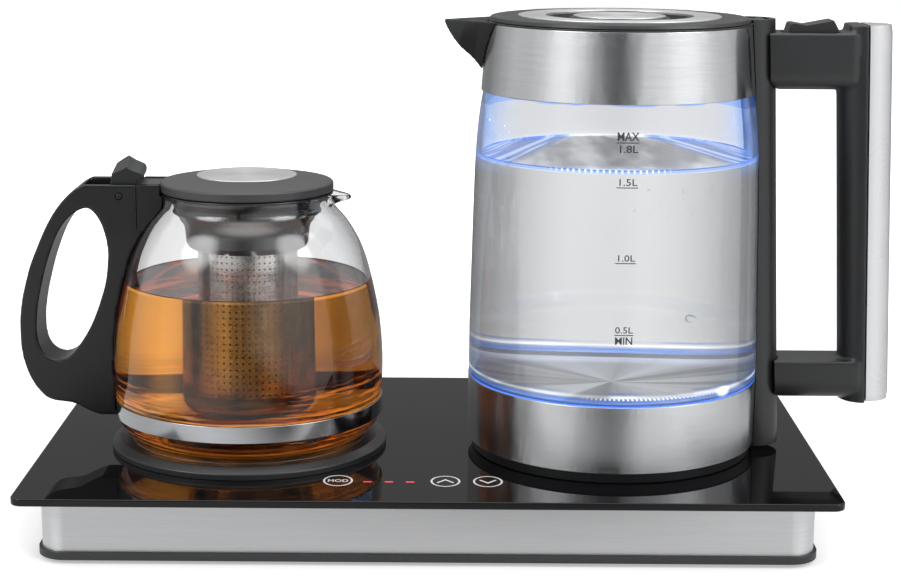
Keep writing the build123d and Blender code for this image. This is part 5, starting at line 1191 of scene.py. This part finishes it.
def lid_marks():
    """A plus on the kettle lid's shell and a minus on its trim, for lining the lid up with the spout."""
    for name, bars, node, place in (("lid_plus", ((1.7, 0.22), (0.22, 1.7)), "lid_shell", (-60.5, -6.0)),
                                    ("lid_minus", ((1.7, 0.3),), "lid_trim", (-42.0, 8.0))):
        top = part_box(node)[1][2] / MM - KETTLE.z + 0.02
        shapes = [(bar(*sizes), place) for sizes in bars]
        ride("kettle_lid", printed(name, shapes, print_white, lambda x, y: KETTLE + Vector((x, y, top))))


touch_marks()
volume_marks()
lid_marks()


# Drops and small bubbles on the inside of the kettle's glass

def drop_form():
    """A small ball."""
    form = bmesh.new()
    bmesh.ops.create_icosphere(form, subdivisions=2, radius=1.0)
    return form


def drops():
    """Bubbles under the water's edge, and one large drop that runs down."""
    bubbles = grown("kettle_bubbles", drop_form(), scatter_tree(), droplet_clear, Count=22, Seed=4,
                    Low=126 * MM, High=143 * MM, Small=0.2 * MM, Large=0.65 * MM, Start=radians(-96),
                    End=radians(-40), Radius=66.9 * MM, Centre=tuple(KETTLE * MM))
    drop = drop_form()
    turn, wall, height = radians(-63.0), 68.9, 79.7
    run, out = Vector((-sin(turn), cos(turn), 0.0)), Vector((cos(turn), sin(turn), 0.0))
    for v in drop.verts:
        along, depth, high = v.co.x * 3.1, v.co.y * 0.9, v.co.z * (1.9 - 0.5 * v.co.x)
        up = Vector((0.0, 0.0, height + high - along * 0.1))
        v.co = (KETTLE + out * (wall + depth) + run * along + up) * MM
    large = from_bmesh("kettle_drop", drop, droplet_clear)
    for piece in (bubbles, large):
        smooth(piece, 180)
    ride("kettle", bubbles, large)


drops()


# Finishes of the solids that show as they are

AS_THEY_ARE = {
    satin_black: ("upper_frame", "kettle_socket"),
    zinc: ("cover_screws", "kettle_base_screws", "handle_screws", "lid_pin", "button_pin", "lever_pin",
           "heater_tray", "touch_springs", "button_spring", "temperature_probe"),
    board_green: ("control_board", "touch_board"),
    relay_blue: ("power_relay",),
    light_red: ("indicator_lights",),
    heater_grey: ("warming_heater", "heating_element"),
    insulation: ("heater_insulation",),
    ceramic: ("thermal_cutout",),
    brass: ("connector_contacts",),
    light_blue: ("light_ring",),
    silicone: ("lower_seal", "lid_seal"),
    aluminium: ("heat_diffuser",),
    strainer_steel: ("spout_filter",),
}
for finish, nodes in AS_THEY_ARE.items():
    for node in nodes:
        for place in NODES[node].material_slots:
            place.material = finish


# The studio

CAMERA_AT, LENS = Vector((-0.005627, -0.9972, 0.31855)), 79.09
CAMERA_DOWN, CAMERA_TURN, CAMERA_LEAN = radians(11.728), radians(0.104), radians(0.411)
SET_MIDDLE = Vector((0.0, 0.0, 0.08))
WHITE = (1.0, 1.0, 1.0)
# How bright the studio is, by the bearing from the front in degrees
AROUND = ((-180, 0.165), (-160, 0.16), (-142, 0.17), (-120, 0.33), (-102, 0.47), (-83, 0.455), (-67, 0.60),
          (-52, 0.68), (-38, 0.54), (-25, 0.31), (-16, 0.16), (-8, 0.08), (0, 0.086), (9, 0.28), (18, 0.565),
          (31, 0.66), (45, 0.76), (64, 0.72), (86, 0.53), (105, 0.42), (120, 0.31), (133, 0.12), (146, 0.09),
          (160, 0.15), (180, 0.165))
AROUND_SCALE = 0.62


def round_the_room(f, x, y):
    """How bright the studio is in each direction round the set: soft boxes with dark gaps between them."""
    stops = [((bearing + 180) / 360, level / AROUND_SCALE) for bearing, level in AROUND]
    return f.number("ShaderNodeValToRGB", {"stops": stops}, {"Fac": f.bearing(x, y) * (0.5 / pi) + 0.5})


def glow(f, kind, colour, strength=1.0):
    """Light of a colour, from a surface or from the surroundings."""
    return f.first("ShaderNode" + kind, {}, {"Color": colour, "Strength": strength})


def by_ray(f, seen, shiny, soft):
    """One look for what is seen, straight or through glass, one for what shines, and one for what is lit."""
    look = f.mix(f.maths("GREATER_THAN", f.ray("Glossy Depth"), 0.5), seen, shiny)
    return f.mix(f.maths("GREATER_THAN", f.ray("Diffuse Depth"), 0.5), look, soft)


def room():
    """The studio's surroundings: white to look at, and soft boxes for what shines."""
    world = bpy.data.worlds.new("studio")
    bpy.context.scene.world = world
    world.cycles.sampling_method = "NONE"
    f = Finish("studio", world)
    x, y, z = f.split(f.add("ShaderNodeTexCoord").outputs["Generated"])

    def above(low, high):
        """Nothing under one height in degrees, and one over another."""
        return f.ramp(z, sin(radians(low)), sin(radians(high)))

    behind = f.ramp(y, -0.2, 0.5)
    high = above(21, 30) * behind + above(55, 68) * (1.0 - behind)
    inside = f.ramp(f.ray("Transmission Depth"), 0.4, 0.6)
    level = round_the_room(f, x, y) * (1.0 - high) + high + inside * 0.25
    rise = radians(41)
    for bearing in (radians(-56), radians(66)):
        toward = x * (sin(bearing) * cos(rise)) - y * (cos(bearing) * cos(rise)) + z * sin(rise)
        level = level + f.ramp(toward, cos(radians(20)), cos(radians(7))) * 5.0
    level = level + above(62, 76) * 2.4
    shiny = glow(f, "Background", f.vector(level, level, level))
    surface = by_ray(f, glow(f, "Background", WHITE), shiny, glow(f, "Background", WHITE, 0.55))
    f.add("ShaderNodeOutputWorld", {}, {"Surface": surface})


def floor():
    """A plain pale floor that keeps the set's soft shadow."""
    half, half_wide, half_deep = 4000.0, 195.0, 117.0
    f = Finish("studio_floor")
    f.block.cycles.emission_sampling = "NONE"
    spot = f.where()
    x, y = f.split(spot)[:2]
    shade = f.blend(f.noise(spot, 0.02), (0.85, 0.85, 0.85), (0.87, 0.87, 0.87))
    plain = f.first("ShaderNodeBsdfDiffuse", {}, {"Color": shade})
    away = f.length(f.maths("MAXIMUM", abs(x - TRAY.x) - half_wide, 0.0),
                    f.maths("MAXIMUM", abs(y) - half_deep, 0.0))
    lift = glow(f, "Emission", WHITE, f.ramp(away, 100.0, 900.0, 0.42, 1.0))
    seen = f.first("ShaderNodeAddShader", {}, {0: plain, 1: lift})
    near = f.ramp(away, 80.0, 130.0, 1.0, 0.0)
    level = round_the_room(f, x - KETTLE.x, y - KETTLE.y) * (1.0 - near) + near * 0.75
    shiny = glow(f, "Emission", f.vector(level, level, level))
    straight = f.mix(f.ray("Is Camera Ray"), glow(f, "Emission", WHITE), seen)
    finish = f.done(by_ray(f, straight, shiny, plain))
    corners = [(x, y, 0) for x, y in bar(half, half)]
    solid("studio_floor", corners, [(0, 1, 2, 3)], ORIGIN, finish, outward=False)


def camera():
    """The camera, turned, tilted down and leant to one side."""
    data = bpy.data.cameras.new("camera")
    data.lens, data.sensor_width, data.sensor_fit = LENS, 36.0, "HORIZONTAL"
    data.clip_start, data.clip_end = 0.05, 20.0
    turn, down, lean = CAMERA_TURN, CAMERA_DOWN, CAMERA_LEAN
    ahead = Vector((sin(turn) * cos(down), cos(turn) * cos(down), -sin(down)))
    right = Vector((cos(turn), -sin(turn), 0.0))
    up = right.cross(ahead)
    right, up = cos(lean) * right + sin(lean) * up, cos(lean) * up - sin(lean) * right
    held = bpy.data.objects.new("camera", data)
    held.matrix_world = Matrix.Translation(CAMERA_AT) @ Matrix((right, up, -ahead)).transposed().to_4x4()
    bpy.context.scene.collection.objects.link(held)
    bpy.context.scene.camera = held


def lamp(name, at, watts, size):
    """A square lamp that faces the set."""
    at = Vector(at)
    data = bpy.data.lights.new(name, "AREA")
    data.energy, data.shape, data.size = watts, "SQUARE", size
    made = bpy.data.objects.new(name, data)
    facing = (SET_MIDDLE - at).to_track_quat("-Z", "Y")
    made.matrix_world = Matrix.Translation(at) @ facing.to_matrix().to_4x4()
    made.visible_camera = made.visible_glossy = made.visible_transmission = False
    bpy.context.scene.collection.objects.link(made)


room()
floor()
camera()
lamp("key_light", (1.2, -1.4, 1.6), 22.0, 1.2)
lamp("fill_light", (-1.5, -1.2, 1.2), 12.0, 1.2)
lamp("top_light", (0.0, 0.3, 2.0), 12.0, 1.2)

scene = bpy.context.scene
scene.view_settings.view_transform = "Standard"
scene.cycles.max_bounces = 24
scene.cycles.transmission_bounces = 24
scene.cycles.transparent_max_bounces = 24
